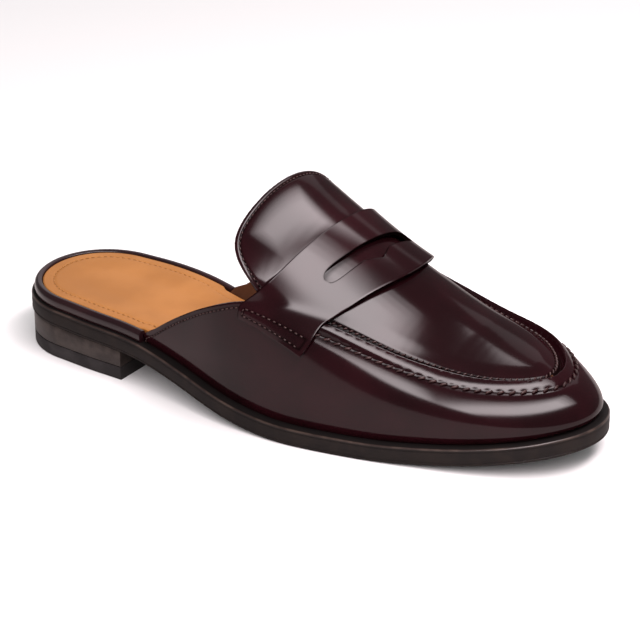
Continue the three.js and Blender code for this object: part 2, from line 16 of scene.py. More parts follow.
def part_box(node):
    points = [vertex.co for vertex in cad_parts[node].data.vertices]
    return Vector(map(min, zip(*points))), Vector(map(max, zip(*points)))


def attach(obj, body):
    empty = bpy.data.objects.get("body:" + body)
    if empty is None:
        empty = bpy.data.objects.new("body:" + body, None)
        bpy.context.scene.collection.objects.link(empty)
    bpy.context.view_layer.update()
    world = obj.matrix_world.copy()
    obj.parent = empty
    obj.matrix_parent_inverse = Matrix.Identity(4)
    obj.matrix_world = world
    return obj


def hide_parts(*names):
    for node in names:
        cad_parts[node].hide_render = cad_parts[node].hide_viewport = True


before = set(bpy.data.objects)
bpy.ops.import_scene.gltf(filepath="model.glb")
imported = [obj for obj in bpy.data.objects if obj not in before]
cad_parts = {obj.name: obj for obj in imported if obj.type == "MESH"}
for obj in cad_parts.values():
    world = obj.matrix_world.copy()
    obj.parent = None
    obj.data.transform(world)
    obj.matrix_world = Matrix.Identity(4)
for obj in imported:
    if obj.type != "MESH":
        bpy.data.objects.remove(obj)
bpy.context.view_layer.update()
MM = 0.001
print("solids:", sorted(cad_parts))

# %% [markdown]
# ## Curves through short tables
# A last is described by a few measured sections. Between them the sizes must run smoothly and never
# swing past a measured value. A cubic through the rows does this when each row's slope is the harmonic
# mean of its neighbours' slopes, and 0 at a high or low point.


# %% A smooth curve through a table
def curve(*rows):
    """Cubic Hermite through (key, value) rows. The slope at a row is the harmonic mean of the two
    chords that meet there, or 0 where they differ in sign."""
    x, y = np.array(rows, float).T
    chord = np.diff(y) / np.diff(x)
    product = chord[:-1] * chord[1:]
    inner = np.where(product > 0, 2 * product / np.where(product > 0, chord[:-1] + chord[1:], 1), 0)
    slope = np.concatenate([chord[:1], inner, chord[-1:]])

    def value(at):
        at = np.clip(at, x[0], x[-1])
        k = np.clip(np.searchsorted(x, at, side="right") - 1, 0, len(x) - 2)
        span = x[k + 1] - x[k]
        f = (at - x[k]) / span
        rise = y[k + 1] - y[k]
        bend = f * (1 - f) * ((1 - f) * (slope[k] * span - rise) - f * (slope[k + 1] * span - rise))
        return y[k] + rise * f + bend

    return value


def times(size, *rows):
    """Rows of a table whose values are shares of one size."""
    return [(key, share * size) for key, share in rows]


SOFTENING = 0.014


def softened(table):
    """The same curve averaged over nine places by a bell curve, so that its bend has no jumps that
    polish would show. Past 1 the curve goes on as its own mirror image through its last point."""
    places_each_side = np.arange(-4, 5)
    weights = np.exp(-0.5 * (places_each_side / 2) ** 2)
    weights /= weights.sum()

    def value(at):
        places = np.asarray(at, float)[..., None] + SOFTENING * places_each_side
        past = places > 1
        reached = table(np.where(past, 2 - places, places))
        return (weights * np.where(past, 2 * table(np.array(1.0)) - reached, reached)).sum(-1)

    return value


def smooth(at, low, high):
    """0 below low, 1 above high, and the cubic 3f2 - 2f3 between them."""
    f = np.clip((np.asarray(at, float) - low) / (high - low), 0, 1)
    return f * f * (3 - 2 * f)


def lerp(a, b, f):
    return a + (b - a) * f


# %% [markdown]
# ## The sole's outline
# The sole edge is the one line that every other piece follows. Half widths on the outer and inner side
# are given at a dozen places along the length, and both ends are rounded by a cap that falls to zero.

# %% Sizes of the last and the sole's outline
SOLE_LENGTH = 295.0
BALL_WIDTH = 100.0
HEEL_WIDTH = 72.0
SOLE_THICKNESS = 8.0
HEEL_SEAT = 17.1
TOE_SPRING = 12.0
CLEARANCE = 0.3
INSTEP = 92.0
OUTER, INNER = -1, 1

outer_half = curve(*times(HEEL_WIDTH, (0, .510), (.10, .510), (.17, .553), (.26, .576)),
                   *times(BALL_WIDTH, (.36, .474), (.46, .542), (.56, .560), (.66, .525), (.74, .477),
                          (.82, .413), (.90, .368), (1, .346)))
inner_half = curve(*times(HEEL_WIDTH, (0, .479), (.10, .479), (.17, .494), (.26, .457)),
                   *times(BALL_WIDTH, (.36, .276), (.46, .315), (.56, .397), (.66, .473), (.74, .506),
                          (.82, .489), (.90, .443), (1, .389)))
heel_share = curve((0, 1), (.25, .854), (.33, .673), (.41, .421), (.49, .129), (.57, 0), (1, 0))
toe_share = curve((0, 0), (.70, 0), (.80, .165), (.90, .510), (1, 1))
outer_half, inner_half, heel_share, toe_share = (
    softened(table) for table in (outer_half, inner_half, heel_share, toe_share))
HEEL_CAP, TOE_CAP, TOE_POWER = 0.115, 0.20, 2.3


def underside(share):
    """Height of the sole's underside: the heel seat's share and the toe spring's share."""
    return heel_share(share) * HEEL_SEAT + toe_share(share) * TOE_SPRING


def sole_top(share):
    return underside(share) + SOLE_THICKNESS


def share_of(turn):
    """Length share of a turn round the outline: turn 0 is the heel's back, 0.5 the toe's tip, and turns
    below 0.5 are the outer side."""
    return 0.5 - 0.5 * np.cos(2 * np.pi * turn)


def edge_at(turn):
    """The sole edge as a closed curve over the turn. The half width comes from the table and is
    multiplied by the round caps of both ends."""
    share = share_of(turn)
    heel = np.clip(HEEL_CAP - share, 0, None) / HEEL_CAP
    toe = np.clip(share - 1 + TOE_CAP, 0, None) / TOE_CAP
    cap = np.sqrt(np.clip(1 - heel ** 2, 0, 1)) * np.sqrt(np.clip(1 - toe ** TOE_POWER, 0, 1))
    half = np.where(turn - np.floor(turn) <= 0.5, -outer_half(share), inner_half(share))
    return np.stack([share * SOLE_LENGTH, half * cap], -1)


def turn_of(share, side):
    turn = np.arccos(np.clip(1 - 2 * np.asarray(share, float), -1, 1)) / (2 * np.pi)
    return np.where(np.asarray(side) < 0, turn, 1 - turn)


def inside_edge(turn, inset):
    """A point at a distance inside the sole edge, measured square to it."""
    step = 1e-4
    along = edge_at(turn + step) - edge_at(turn - step)
    along /= np.linalg.norm(along, axis=-1, keepdims=True)
    return edge_at(turn) + np.stack([-along[..., 1], along[..., 0]], -1) * np.asarray(inset)[..., None]


rim = edge_at(np.linspace(0, 1, 2001))
low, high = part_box("outsole")
SHIFT = np.array([low[0] / MM - rim[:, 0].min(), low[1] / MM - rim[:, 1].min(), 0])
print("from the last's own zero to the frame, in mm:", SHIFT.round(2))

# %% [markdown]
# ## Meshes from whole arrays
# Every piece below is a grid of points, or several grids, worked out by numpy in one go. These helpers
# turn grids into closed meshes: a shell has an outer skin, an inner face and a rim round its cut edge,
# as a piece of leather has.


# %% From grids to meshes
WELD = 1e-3


def quads_of(rows, columns, first=0, wrap=False):
    """Corner numbers of the cells of a grid that is stored row by row; wrap joins last column to
    first."""
    i = np.arange(rows - 1)[:, None]
    j = np.arange(columns if wrap else columns - 1)[None, :]
    n = (j + 1) % columns
    cells = np.stack([i * columns + j, (i + 1) * columns + j, (i + 1) * columns + n, i * columns + n], -1)
    return cells.reshape(-1, 4) + first


def welded(points):
    """The number of the place of each point, so that points at one place share it."""
    return np.unique(np.round(points / WELD).astype(np.int64), axis=0, return_inverse=True)[1].ravel()


def outward(grid):
    """Square direction at each point of a grid: the mean of the cells round it, and points that lie
    at one place share one direction. The upper's surfaces lean inward as they rise, so the outer side
    is the one that on the whole points up."""
    rows, columns = grid.shape[:2]
    points = grid.reshape(-1, 3)
    cells = quads_of(rows, columns)
    a, b, c, d = (points[cells[:, k]] for k in range(4))
    square = np.cross(c - a, d - b)
    place = welded(points)
    total = np.zeros((place.max() + 1, 3))
    for k in range(4):
        np.add.at(total, place[cells[:, k]], square)
    total /= np.maximum(np.linalg.norm(total, axis=1, keepdims=True), 1e-12)
    square = total[place].reshape(grid.shape)
    return square * np.sign(square[..., 2].sum())


def placed(name, data):
    """A new object in the scene."""
    made = bpy.data.objects.new(name, data)
    bpy.context.scene.collection.objects.link(made)
    return made


def new_piece(name, points, faces, material, slot, painted_shade=None, sharp=40):
    """A mesh object at the origin, in metres. Points at one place are merged, cells that collapse are
    dropped, and edges sharper than the given angle stay crisp. The painted shade, 0 to 1 at each point,
    darkens the colour where shade falls: in needle holes, grooves and under edges."""
    place = welded(points)
    kept = np.zeros((place.max() + 1, 3))
    kept[place] = points
    lists = [list(dict.fromkeys(row)) for row in place[faces].tolist()]
    lists = [row for row in lists if len(row) > 2]
    mesh = bpy.data.meshes.new(name)
    mesh.from_pydata(((kept + SHIFT) * MM).tolist(), [], lists)
    # Painted shade is stored on the points, for the finishes to read.
    if painted_shade is not None:
        dark = np.zeros(len(kept), np.float32)
        dark[place] = painted_shade
        mesh.attributes.new("painted_shade", "FLOAT", "POINT").data.foreach_set("value", dark)
    mesh.validate()
    mesh.shade_smooth()
    mesh.set_sharp_from_angle(angle=math.radians(sharp))
    piece = placed(name, mesh)
    mesh.materials.append(material)
    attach(piece, "root")
    print(f"{name}: {len(mesh.vertices)} points, {len(mesh.polygons)} faces")
    return piece


def shell(skin, inner):
    """Points and faces of a wall between two grids, with a rim that closes its four edges."""
    rows, columns = skin.shape[:2]
    under = rows * columns
    j, i = np.arange(columns - 1), np.arange(rows - 1) * columns
    bottom, e = (rows - 1) * columns + j, i + columns - 1
    rims = [(j, under + j, under + j + 1, j + 1), (bottom + 1, under + bottom + 1, under + bottom, bottom),
            (i + columns, i + columns + under, i + under, i),
            (e, e + under, e + columns + under, e + columns)]
    faces = [quads_of(rows, columns), quads_of(rows, columns, first=under)[:, ::-1]]
    faces += [np.stack(rim, -1) for rim in rims]
    return np.concatenate([skin.reshape(-1, 3), inner.reshape(-1, 3)]), np.concatenate(faces)


def both_faces(painted_shade, under=0.0):
    """Painted shade of a wall's points: that of its skin, then one value for its inner face."""
    return np.concatenate([painted_shade.ravel(), np.full(painted_shade.size, under)])


def bell(distance, width):
    return np.exp(-(distance / width) ** 2)


def rounded_drop(distance, radius):
    """How far a skin has fallen near a cut edge: a quarter circle of the given radius."""
    f = np.clip(1 - distance / radius, 0, 1)
    return radius * (1 - np.sqrt(np.clip(1 - f ** 2, 0, 1)))


def arc(line):
    """Distance run along a line of points, from 0 at its first."""
    steps = np.linalg.norm(np.diff(line, axis=0), axis=-1)
    return np.concatenate([[0], np.cumsum(steps)])


def resampled(line, count):
    """The same line with evenly spaced points."""
    run = arc(line)
    at = np.linspace(0, run[-1], count)
    return np.stack([np.interp(at, run, line[:, k]) for k in range(line.shape[1])], -1)


CHUNK = 4000


def nearest(points, line):
    """For each point, the distance to a line and the distance run along the line to the place next
    to it."""
    run = arc(line)
    flat = points.reshape(-1, points.shape[-1])
    gap, at = np.empty(len(flat)), np.empty(len(flat))
    for start in range(0, len(flat), CHUNK):
        part = slice(start, start + CHUNK)
        square = ((flat[part, None] - line[None]) ** 2).sum(-1)
        k = square.argmin(1)
        gap[part] = np.sqrt(square[np.arange(len(k)), k])
        at[part] = run[k]
    return gap.reshape(points.shape[:-1]), at.reshape(points.shape[:-1])


# %% [markdown]
# ## The last above the sole
# The side wall rises from the sole to the apron seam as a cubic curve in inset and height. Over the
# seam the apron and the instep span from side to side as a power of a sine, fuller at the ball and
# squarer at the instep, where the tongue stands up.

# %% Side wall and crown
WELT_MARGIN = 4.7
UPPER_WALL = 2.0
SEAM_STEP = 1.5
SEAM_WIDTH = 1.6
SEAM_STARTS, SEAM_FULL = 0.555, 0.635
seam_height = curve(*times(INSTEP, (.27, .460), (.38, .520), (.46, .560), (.54, .570), (.62, .508),
                           (.70, .422), (.78, .333), (.86, .264), (.925, .220), (1, .168)))
seam_outer = curve((.27, 5), (.38, 5), (.46, 1), (.54, 7.5), (.62, 11.5), (.70, 13.5), (.78, 14.1),
                   (.86, 14.8), (.925, 17.8), (1, 22.2))
seam_inner = curve((.27, 2), (.38, -.5), (.46, -2), (.54, 3.5), (.62, 9.5), (.70, 12.5), (.78, 12),
                   (.86, 10.5), (.925, 15), (1, 22.2))
crest = curve(*times(INSTEP, (.27, .410), (.38, .410), (.46, .443), (.54, .318), (.62, .233),
                     (.70, .168), (.78, .120), (.86, .074), (.925, .036), (1, 0)))
fullness = curve((.27, .40), (.46, .40), (.54, .46), (.62, .64), (.70, .78), (.78, .88), (.86, .95),
                 (.925, 1), (1, 1))
lean = curve((.27, .06), (.38, .08), (.46, .12), (.54, .04), (.62, .02), (.78, .02), (.86, 0), (1, 0))
seam_height, seam_outer, seam_inner, crest, fullness, lean = (
    softened(table) for table in (seam_height, seam_outer, seam_inner, crest, fullness, lean))
WALL_REACH, WALL_RISE, WALL_TURN, WALL_TOP = -0.22 * WELT_MARGIN, 0.30, 0.52, 0.95


def seam_inset(share, side):
    return np.where(np.asarray(side) < 0, seam_outer(share), seam_inner(share))


def seam_fade(share):
    """The raised seam grows from nothing below the strap to its full height in front of it."""
    return smooth(share, SEAM_STARTS, SEAM_FULL)


def wall_height(rise):
    return 3 * rise * (1 - rise) ** 2 * WALL_RISE + 3 * rise ** 2 * (1 - rise) * WALL_TOP + rise ** 3


def wall_point(turn, rise):
    """A point of the side wall, rise 0 at the sole and 1 at the seam: a cubic Bezier curve whose
    handles are an inset from the sole edge and a share of the seam's height."""
    share = share_of(turn)
    side = np.where(turn - np.floor(turn) <= 0.5, OUTER, INNER)
    end = seam_inset(share, side)
    u = 1 - rise
    inset = (WELT_MARGIN * u ** 3 + 3 * rise * u ** 2 * WALL_REACH
             + 3 * rise ** 2 * u * lerp(WALL_REACH, end, WALL_TURN) + rise ** 3 * end)
    flat = inside_edge(turn, inset)
    height = sole_top(share) + CLEARANCE + wall_height(rise) * seam_height(share)
    return np.concatenate([flat, height[..., None]], -1)


def crown_point(share, angle, sunk):
    """A point over the instep and apron: angle 0 is the outer seam and pi the inner one. It runs
    along the chord between the seams and rises by the crest times a power of the angle's sine.
    sunk 1 is the apron's level below the raised seam, and 0 the seam's top."""
    fade = seam_fade(share)
    ends = [inside_edge(turn_of(share, side), SEAM_WIDTH * fade + seam_inset(share, side))
            for side in (OUTER, INNER)]
    arch = np.clip(np.sin(angle), 1e-9, 1)
    across = 0.5 - 0.5 * np.cos(angle) + lean(share) * arch ** 2
    flat = lerp(ends[0], ends[1], across[..., None])
    height = sole_top(share) + CLEARANCE + seam_height(share) - sunk * SEAM_STEP * fade
    return np.concatenate([flat, (height + crest(share) * arch ** (2 * fullness(share)))[..., None]], -1)


toe_tip = wall_point(np.array(0.5), np.array(1.0))
print("seam at the toe, height in mm:", round(float(toe_tip[2]), 1))

# %% [markdown]
# ## The throat's edge
# The quarters are cut away at the back in a long sweep. In side view the cut runs from a corner at the
# sole up to the strap. Each line of the wall that runs forward starts where it meets that cut, and
# that place is found by halving a range until it closes.

# %% Where the upper begins
STRAP_STATION = 186.0
STRAP_WIDTH = 30.0
QUARTER_BACK = {OUTER: 83.0, INNER: 90.0}
THROAT_CREST = STRAP_STATION - 8.0
THROAT_FORWARD = (0, .005, .081, .185, .295, .463, .610, .684, .820, .905, .958, .990, 1)
THROAT_HEIGHT = {
    OUTER: (0, .030, .097, .192, .288, .423, .520, .553, .600, .700, .770, .845, 1.1),
    INNER: (0, .045, .100, .190, .265, .345, .420, .465, .575, .660, .742, .835, 1.1),
}


def throat_curve(side):
    """Station of the throat's edge as a curve of height over the sole."""
    return curve(*[(height * INSTEP, lerp(QUARTER_BACK[side], THROAT_CREST, forward))
                   for height, forward in zip(THROAT_HEIGHT[side], THROAT_FORWARD)])


throat_at = {side: throat_curve(side) for side in (OUTER, INNER)}
THROAT_BEFORE, THROAT_AFTER, HALVINGS = 0.24, 0.64, 40


def throat_share(side, height_over_sole):
    """Length share at which a line of the upper meets the throat's edge. height_over_sole gives the
    line's height at a share."""
    near, far = (np.full_like(height_over_sole(0.5), end) for end in (THROAT_BEFORE, THROAT_AFTER))
    for _ in range(HALVINGS):
        middle = (near + far) / 2
        before = middle * SOLE_LENGTH < throat_at[side](height_over_sole(middle))
        near, far = np.where(before, middle, near), np.where(before, far, middle)
    return (near + far) / 2


# %% [markdown]
# ## Node groups that several finishes share
# Polished leather has a fine pebble under its gloss, faint shade changes where the dye went on by hand,
# and long soft waves. One group makes that relief and one makes the shade, and each finish feeds them
# its own scale.


# %% A small kit for materials
def node(tree, kind, at, **values):
    made = tree.nodes.new(kind)
    made.location = at
    for key, value in values.items():
        setattr(made, key, value)
    return made


def group_of(name, inputs, outputs):
    """A new shader group with named sockets; each is (name, kind, default)."""
    tree = bpy.data.node_groups.new(name, "ShaderNodeTree")
    for label, kind, default in inputs:
        socket = tree.interface.new_socket(label, in_out="INPUT", socket_type=kind)
        if default is not None:
            socket.default_value = default
    for label, kind in outputs:
        tree.interface.new_socket(label, in_out="OUTPUT", socket_type=kind)
    return tree, node(tree, "NodeGroupInput", (-800, 0)), node(tree, "NodeGroupOutput", (600, 0))


def maths(tree, operation, a, b, at):
    """A math node fed by two sockets or numbers; gives its output."""
    made = node(tree, "ShaderNodeMath", at, operation=operation)
    for k, value in enumerate((a, b)):
        if isinstance(value, (int, float)):
            made.inputs[k].default_value = value
        else:
            tree.links.new(value, made.inputs[k])
    return made.outputs[0]


def leather_relief_group():
    """Height of leather: small pebbles between creases, plus long soft waves."""
    tree, start, end = group_of(
        "leather relief",
        [("Vector", "NodeSocketVector", None), ("Pebbles per metre", "NodeSocketFloat", 900.0),
         ("Wave share", "NodeSocketFloat", 0.5)],
        [("Height", "NodeSocketFloat")])
    pebble = node(tree, "ShaderNodeTexVoronoi", (-500, 200), feature="SMOOTH_F1")
    pebble.inputs["Smoothness"].default_value = 0.6
    fine = node(tree, "ShaderNodeTexNoise", (-500, -50))
    fine.inputs["Detail"].default_value = 3
    wave = node(tree, "ShaderNodeTexNoise", (-500, -300))
    wave.inputs["Scale"].default_value = 45
    for texture in (pebble, fine, wave):
        tree.links.new(start.outputs["Vector"], texture.inputs["Vector"])
    tree.links.new(start.outputs["Pebbles per metre"], pebble.inputs["Scale"])
    tree.links.new(maths(tree, "MULTIPLY", start.outputs["Pebbles per metre"], 2.2, (-700, -100)),
                   fine.inputs["Scale"])
    grain = maths(tree, "ADD", maths(tree, "MULTIPLY", pebble.outputs["Distance"], 0.5, (-250, 200)),
                  maths(tree, "MULTIPLY", fine.outputs["Fac"], 0.35, (-250, 0)), (-50, 100))
    soft = maths(tree, "MULTIPLY", wave.outputs["Fac"], start.outputs["Wave share"], (-250, -300))
    tree.links.new(maths(tree, "ADD", grain, soft, (200, 0)), end.inputs["Height"])
    return tree


def hand_dye_group():
    """A mask of soft clouds, 0 to 1, for shade that changes slowly over the leather."""
    tree, start, end = group_of(
        "hand dye", [("Vector", "NodeSocketVector", None), ("Clouds per metre", "NodeSocketFloat", 30.0)],
        [("Mask", "NodeSocketFloat")])
    cloud = node(tree, "ShaderNodeTexNoise", (-500, 0))
    cloud.inputs["Detail"].default_value = 4
    tree.links.new(start.outputs["Vector"], cloud.inputs["Vector"])
    tree.links.new(start.outputs["Clouds per metre"], cloud.inputs["Scale"])
    span = node(tree, "ShaderNodeMapRange", (-250, 0), interpolation_type="SMOOTHSTEP")
    span.inputs["From Min"].default_value = 0.35
    span.inputs["From Max"].default_value = 0.68
    tree.links.new(cloud.outputs["Fac"], span.inputs["Value"])
    tree.links.new(span.outputs["Result"], end.inputs["Mask"])
    return tree


RELIEF = leather_relief_group()
DYE = hand_dye_group()
# The colour that painted shade darkens to, and the roughness that it adds.
DEEP_SHADE, SHADE_MATT = (.002, .001, .001, 1), 0.5


def finish_of(name, dark, light, rough, coat=0.0, coat_rough=0.1, pebbles=900.0, waves=0.5, depth=0.02,
              clouds=30.0, rough_change=0.0, specular=0.5):
    """A leather finish: the hand dye mask mixes two shades, the relief feeds a bump of the given depth in
    millimetres, and gloss comes from roughness and a clear coat. Where a piece's painted shade is 1, the
    leather is painted as if in deep shade: near black, matt and with no coat."""
    material = bpy.data.materials.new(name)
    material.use_nodes = True
    tree = material.node_tree
    shader = tree.nodes["Principled BSDF"]
    shader.inputs["Coat Roughness"].default_value = coat_rough
    shader.inputs["Specular IOR Level"].default_value = specular
    place = node(tree, "ShaderNodeTexCoord", (-1000, 0))
    dye = node(tree, "ShaderNodeGroup", (-700, 200), node_tree=DYE)
    dye.inputs["Clouds per metre"].default_value = clouds
    relief = node(tree, "ShaderNodeGroup", (-700, -200), node_tree=RELIEF)
    relief.inputs["Pebbles per metre"].default_value = pebbles
    relief.inputs["Wave share"].default_value = waves
    tree.links.new(place.outputs["Object"], dye.inputs["Vector"])
    tree.links.new(place.outputs["Object"], relief.inputs["Vector"])
    mix = node(tree, "ShaderNodeMix", (-400, 200), data_type="RGBA")
    mix.inputs["A"].default_value = (*dark, 1)
    mix.inputs["B"].default_value = (*light, 1)
    tree.links.new(dye.outputs["Mask"], mix.inputs["Factor"])
    # Painted shade: the piece's attribute mixes the colour towards DEEP_SHADE, takes the coat away and
    # makes the leather matt.
    painted_shade = node(tree, "ShaderNodeAttribute", (-1000, 500), attribute_name="painted_shade").outputs["Fac"]
    sunk = node(tree, "ShaderNodeMix", (-200, 300), data_type="RGBA")
    sunk.inputs["B"].default_value = DEEP_SHADE
    tree.links.new(painted_shade, sunk.inputs["Factor"])
    tree.links.new(mix.outputs["Result"], sunk.inputs["A"])
    tree.links.new(sunk.outputs["Result"], shader.inputs["Base Color"])
    open_part = maths(tree, "SUBTRACT", 1.0, painted_shade, (-800, 500))
    tree.links.new(maths(tree, "MULTIPLY", open_part, coat, (-600, 500)), shader.inputs["Coat Weight"])
    shift = maths(tree, "MULTIPLY", dye.outputs["Mask"], rough_change, (-400, 0))
    matt = maths(tree, "MULTIPLY", painted_shade, SHADE_MATT, (-400, 400))
    tree.links.new(maths(tree, "ADD", maths(tree, "ADD", shift, rough, (-200, 0)), matt, (-100, 0)),
                   shader.inputs["Roughness"])
    bump = node(tree, "ShaderNodeBump", (-300, -200))
    bump.inputs["Strength"].default_value = 1.0
    bump.inputs["Distance"].default_value = depth * MM
    tree.links.new(relief.outputs["Height"], bump.inputs["Height"])
    tree.links.new(bump.outputs["Normal"], shader.inputs["Normal"])
    return material


# %% [markdown]
# ## Finishes
# The upper is smooth burgundy calf with a hard polish: nearly black in shade, wine red where light
# comes through the dye. The footbed's sock is natural tan leather, the edges of the sole are dyed
# brown-black and waxed, and the top piece is dull rubber.

# %% The finishes of this shoe
BURGUNDY = finish_of("polished burgundy calf", (.0066, .0013, .0019), (.0122, .0020, .0032), .40,
                     coat=.56, coat_rough=.12, pebbles=1500, waves=.5, depth=.010, clouds=28, specular=0)
FOLDED_EDGE = finish_of("burgundy folded edge", (.010, .0030, .0040), (.017, .005, .006), .28,
                        coat=.5, coat_rough=.16, pebbles=1800, waves=.3, depth=.02, clouds=40, specular=.2)
THREAD = finish_of("waxed burgundy thread", (.018, .007, .007), (.040, .018, .017), .36,
                   coat=.3, coat_rough=.22, pebbles=5000, waves=0, depth=.02, clouds=500, specular=.15)
LINING = finish_of("brown leather lining", (.055, .018, .007), (.090, .032, .013), .55,
                   pebbles=1400, waves=.3, depth=.03, clouds=40, specular=.25)
SOCK = finish_of("natural tan sock", (.265, .105, .023), (.315, .130, .033), .45,
                 coat=.05, coat_rough=.35, pebbles=2000, waves=.4, depth=.014, clouds=35, rough_change=.06,
                 specular=.25)
SOCK_THREAD = finish_of("tan thread", (.24, .105, .03), (.32, .145, .045), .6,
                        pebbles=5000, waves=0, depth=.02, clouds=400, specular=.2)
SOLE_EDGE = finish_of("waxed sole edge", (.019, .0135, .0120), (.038, .028, .0245), .36,
                      coat=.08, coat_rough=.25, pebbles=1600, waves=.6, depth=.05, clouds=160,
                      rough_change=.1, specular=.2)
WELT_EDGE = finish_of("waxed sole edge with a burnished bead", (.021, .0125, .0105), (.044, .028, .022),
                      .34, coat=.5, coat_rough=.2, pebbles=1600, waves=.6, depth=.05, clouds=160,
                      rough_change=.1, specular=.2)
HEEL_RUBBER = finish_of("heel rubber", (.015, .0125, .0130), (.026, .022, .0225), .6,
                        pebbles=2500, waves=.2, depth=.04, clouds=120, specular=.2)

# %% [markdown]
# ## The vamp
# The vamp is the wall that runs from the outer quarter round the toe to the inner quarter. Its lines
# are counted by the turn round the sole's outline, so it passes the toe with no fold, and each line
# starts and ends on the throat's edge. Near its upper border the leather is gathered over a cord: a
# ridge, a sloping band with soft puckers, and a shallow groove that the long stitches sit in.

# %% The seam line and the vamp's base grid
VAMP_LINES, VAMP_RISES, CROWDED_AT_SEAM = 460, 72, 1.7
BAND, STITCH_PITCH = 5.0, 4.75
PUCKER, CREST_NOTCH = 0.05, 0.09


def vamp_starts(rise):
    """Turn at which each line of the wall starts on the outer side and ends on the inner side."""
    first = turn_of(throat_share(OUTER, lambda s: wall_height(rise) * seam_height(s)), OUTER)
    last = turn_of(throat_share(INNER, lambda s: wall_height(rise) * seam_height(s)), INNER)
    return first, last


def vamp_grid():
    """Wall points over evenly spaced turns along each line, and rises that lie closer together near
    the seam."""
    rise = 1 - (1 - np.linspace(0, 1, VAMP_RISES)) ** CROWDED_AT_SEAM
    first, last = vamp_starts(rise)
    along = np.linspace(0, 1, VAMP_LINES)[:, None]
    turn = lerp(first[None], last[None], along)
    return wall_point(turn, np.broadcast_to(rise, turn.shape)), turn


vamp_base, vamp_turn = vamp_grid()
seam_line = resampled(vamp_base[:, -1], 900)
print("apron seam runs", round(arc(seam_line)[-1], 1), "mm")


# %% The hand-sewn relief of the vamp
roll_profile = curve((0, 1.66), (.15, 1.68), (.4, 1.57), (1.0, 1.28), (2.4, .62), (3.5, .07), (4.4, -.34),
                     (5.0, -.46), (5.8, -.30), (7.0, -.08), (9.0, 0), (200, 0))


def vamp_relief(points, turn):
    """Height added square to the vamp, and its painted shade. The roll stands up beside the seam and falls
    steeply to a narrow groove, and puckers repeat with the stitches. The groove and its needle holes are
    painted dark, as shade there. All fade out under the strap."""
    gap, run = nearest(points, seam_line)
    fade = seam_fade(share_of(turn))
    wave = np.cos(2 * np.pi * run / STITCH_PITCH)
    notch = bell(np.sin(np.pi * run / STITCH_PITCH), 0.35)
    pucker = PUCKER * wave * bell(gap - BAND + 0.7, 0.8) - CREST_NOTCH * notch * bell(gap - 0.4, 0.4)
    # Painted shade in the groove of the long stitches, varying along it with the stitch pitch.
    painted_hole_shade = bell(gap - BAND, 0.8) * (0.7 - 0.3 * wave)
    return fade * (roll_profile(gap) + pucker), fade * painted_hole_shade


base_out = outward(vamp_base)
vamp_lift, vamp_painted_shade = vamp_relief(vamp_base, vamp_turn)
vamp_skin = vamp_base + base_out * vamp_lift[..., None]
print("vamp's ball width:", round(float(np.ptp(vamp_skin[..., 1])), 1), "mm")

# %% The vamp's rolled border, walls and edges
ROLL_COLUMNS, ROLL_INWARD, ROLL_BELOW, ROLL_POWER = 7, 1.05, 0.5, 1.2
TOPLINE_STITCH = 2.4
LEATHER_WALL, LINING_WALL, LINING_GAP, LINING_SKIP = 1.25, 0.7, 0.05, 3
TOP_ROUNDING, BACK_ROUNDING = 0.6, 0.4


def rolled_border(turn_edge, base_edge, lift_edge):
    """Past the seam the leather rolls inwards and down to just below the apron: the inset grows evenly
    while the height falls ever faster."""
    share = share_of(turn_edge)
    side = np.where(turn_edge <= 0.5, OUTER, INNER)
    fade = seam_fade(share)
    q = np.linspace(0, 1, ROLL_COLUMNS + 1)[1:]
    inset = seam_inset(share, side)[:, None] + SEAM_WIDTH * ROLL_INWARD * fade[:, None] * q
    flat = inside_edge(np.broadcast_to(turn_edge[:, None], inset.shape), inset)
    drop = (SEAM_STEP + ROLL_BELOW) * fade[:, None] * q ** ROLL_POWER
    height = base_edge[:, 2:3] + lift_edge[:, None] * (1 - q) ** 2 - drop
    return np.concatenate([flat, height[..., None]], -1)


edge_lift = (vamp_skin[:, -1] - vamp_base[:, -1])[:, 2]
vamp_roll = rolled_border(vamp_turn[:, -1], vamp_base[:, -1], edge_lift)
vamp_skin = np.concatenate([vamp_skin, vamp_roll], 1)
vamp_out = outward(vamp_skin)
toplines = [resampled(vamp_base[0], 400), resampled(vamp_base[-1], 400)]
to_edge = np.minimum(nearest(vamp_skin, toplines[0])[0], nearest(vamp_skin, toplines[1])[0])
vamp_top = vamp_skin - vamp_out * rounded_drop(to_edge, TOP_ROUNDING)[..., None]
vamp_back = vamp_skin - vamp_out * (LEATHER_WALL - rounded_drop(to_edge, BACK_ROUNDING))[..., None]
# The roll gets no painted shade. Along the topline's row of stitches the leather is painted dark, as shade
# in its groove.
vamp_painted_shade = np.pad(vamp_painted_shade, ((0, 0), (0, ROLL_COLUMNS)))
vamp_painted_shade = np.maximum(vamp_painted_shade, 0.75 * bell(to_edge - TOPLINE_STITCH, 0.45))
vamp = new_piece("vamp", *shell(vamp_top, vamp_back), BURGUNDY, "upper_leather", both_faces(vamp_painted_shade))
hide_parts("upper")


def lining(name, base, out, depth, wall=LINING_WALL, skip=LINING_SKIP):
    """A thin wall at a depth below a surface, from its grid thinned to every few lines."""
    rows = np.unique(np.r_[0:base.shape[0]:skip, base.shape[0] - 1])
    columns = np.unique(np.r_[0:base.shape[1]:skip, base.shape[1] - 1])
    grid, square = base[np.ix_(rows, columns)], out[np.ix_(rows, columns)]
    new_piece(name, *shell(grid - square * depth, grid - square * (depth + wall)), LINING, "sock")


BELOW_SEAM = slice(None, -9)
lining("vamp_lining", vamp_base[:, BELOW_SEAM], base_out[:, BELOW_SEAM], LEATHER_WALL + LINING_GAP)

# %% [markdown]
# ## The apron
# The apron closes the top of the toe. It lies a step below the ridge and is drawn down along its
# border, where a dense row of stitches holds it to the vamp. Its grid runs from the throat to the toe
# in one direction and from seam to seam in the other, and closes at the toe like a fan.

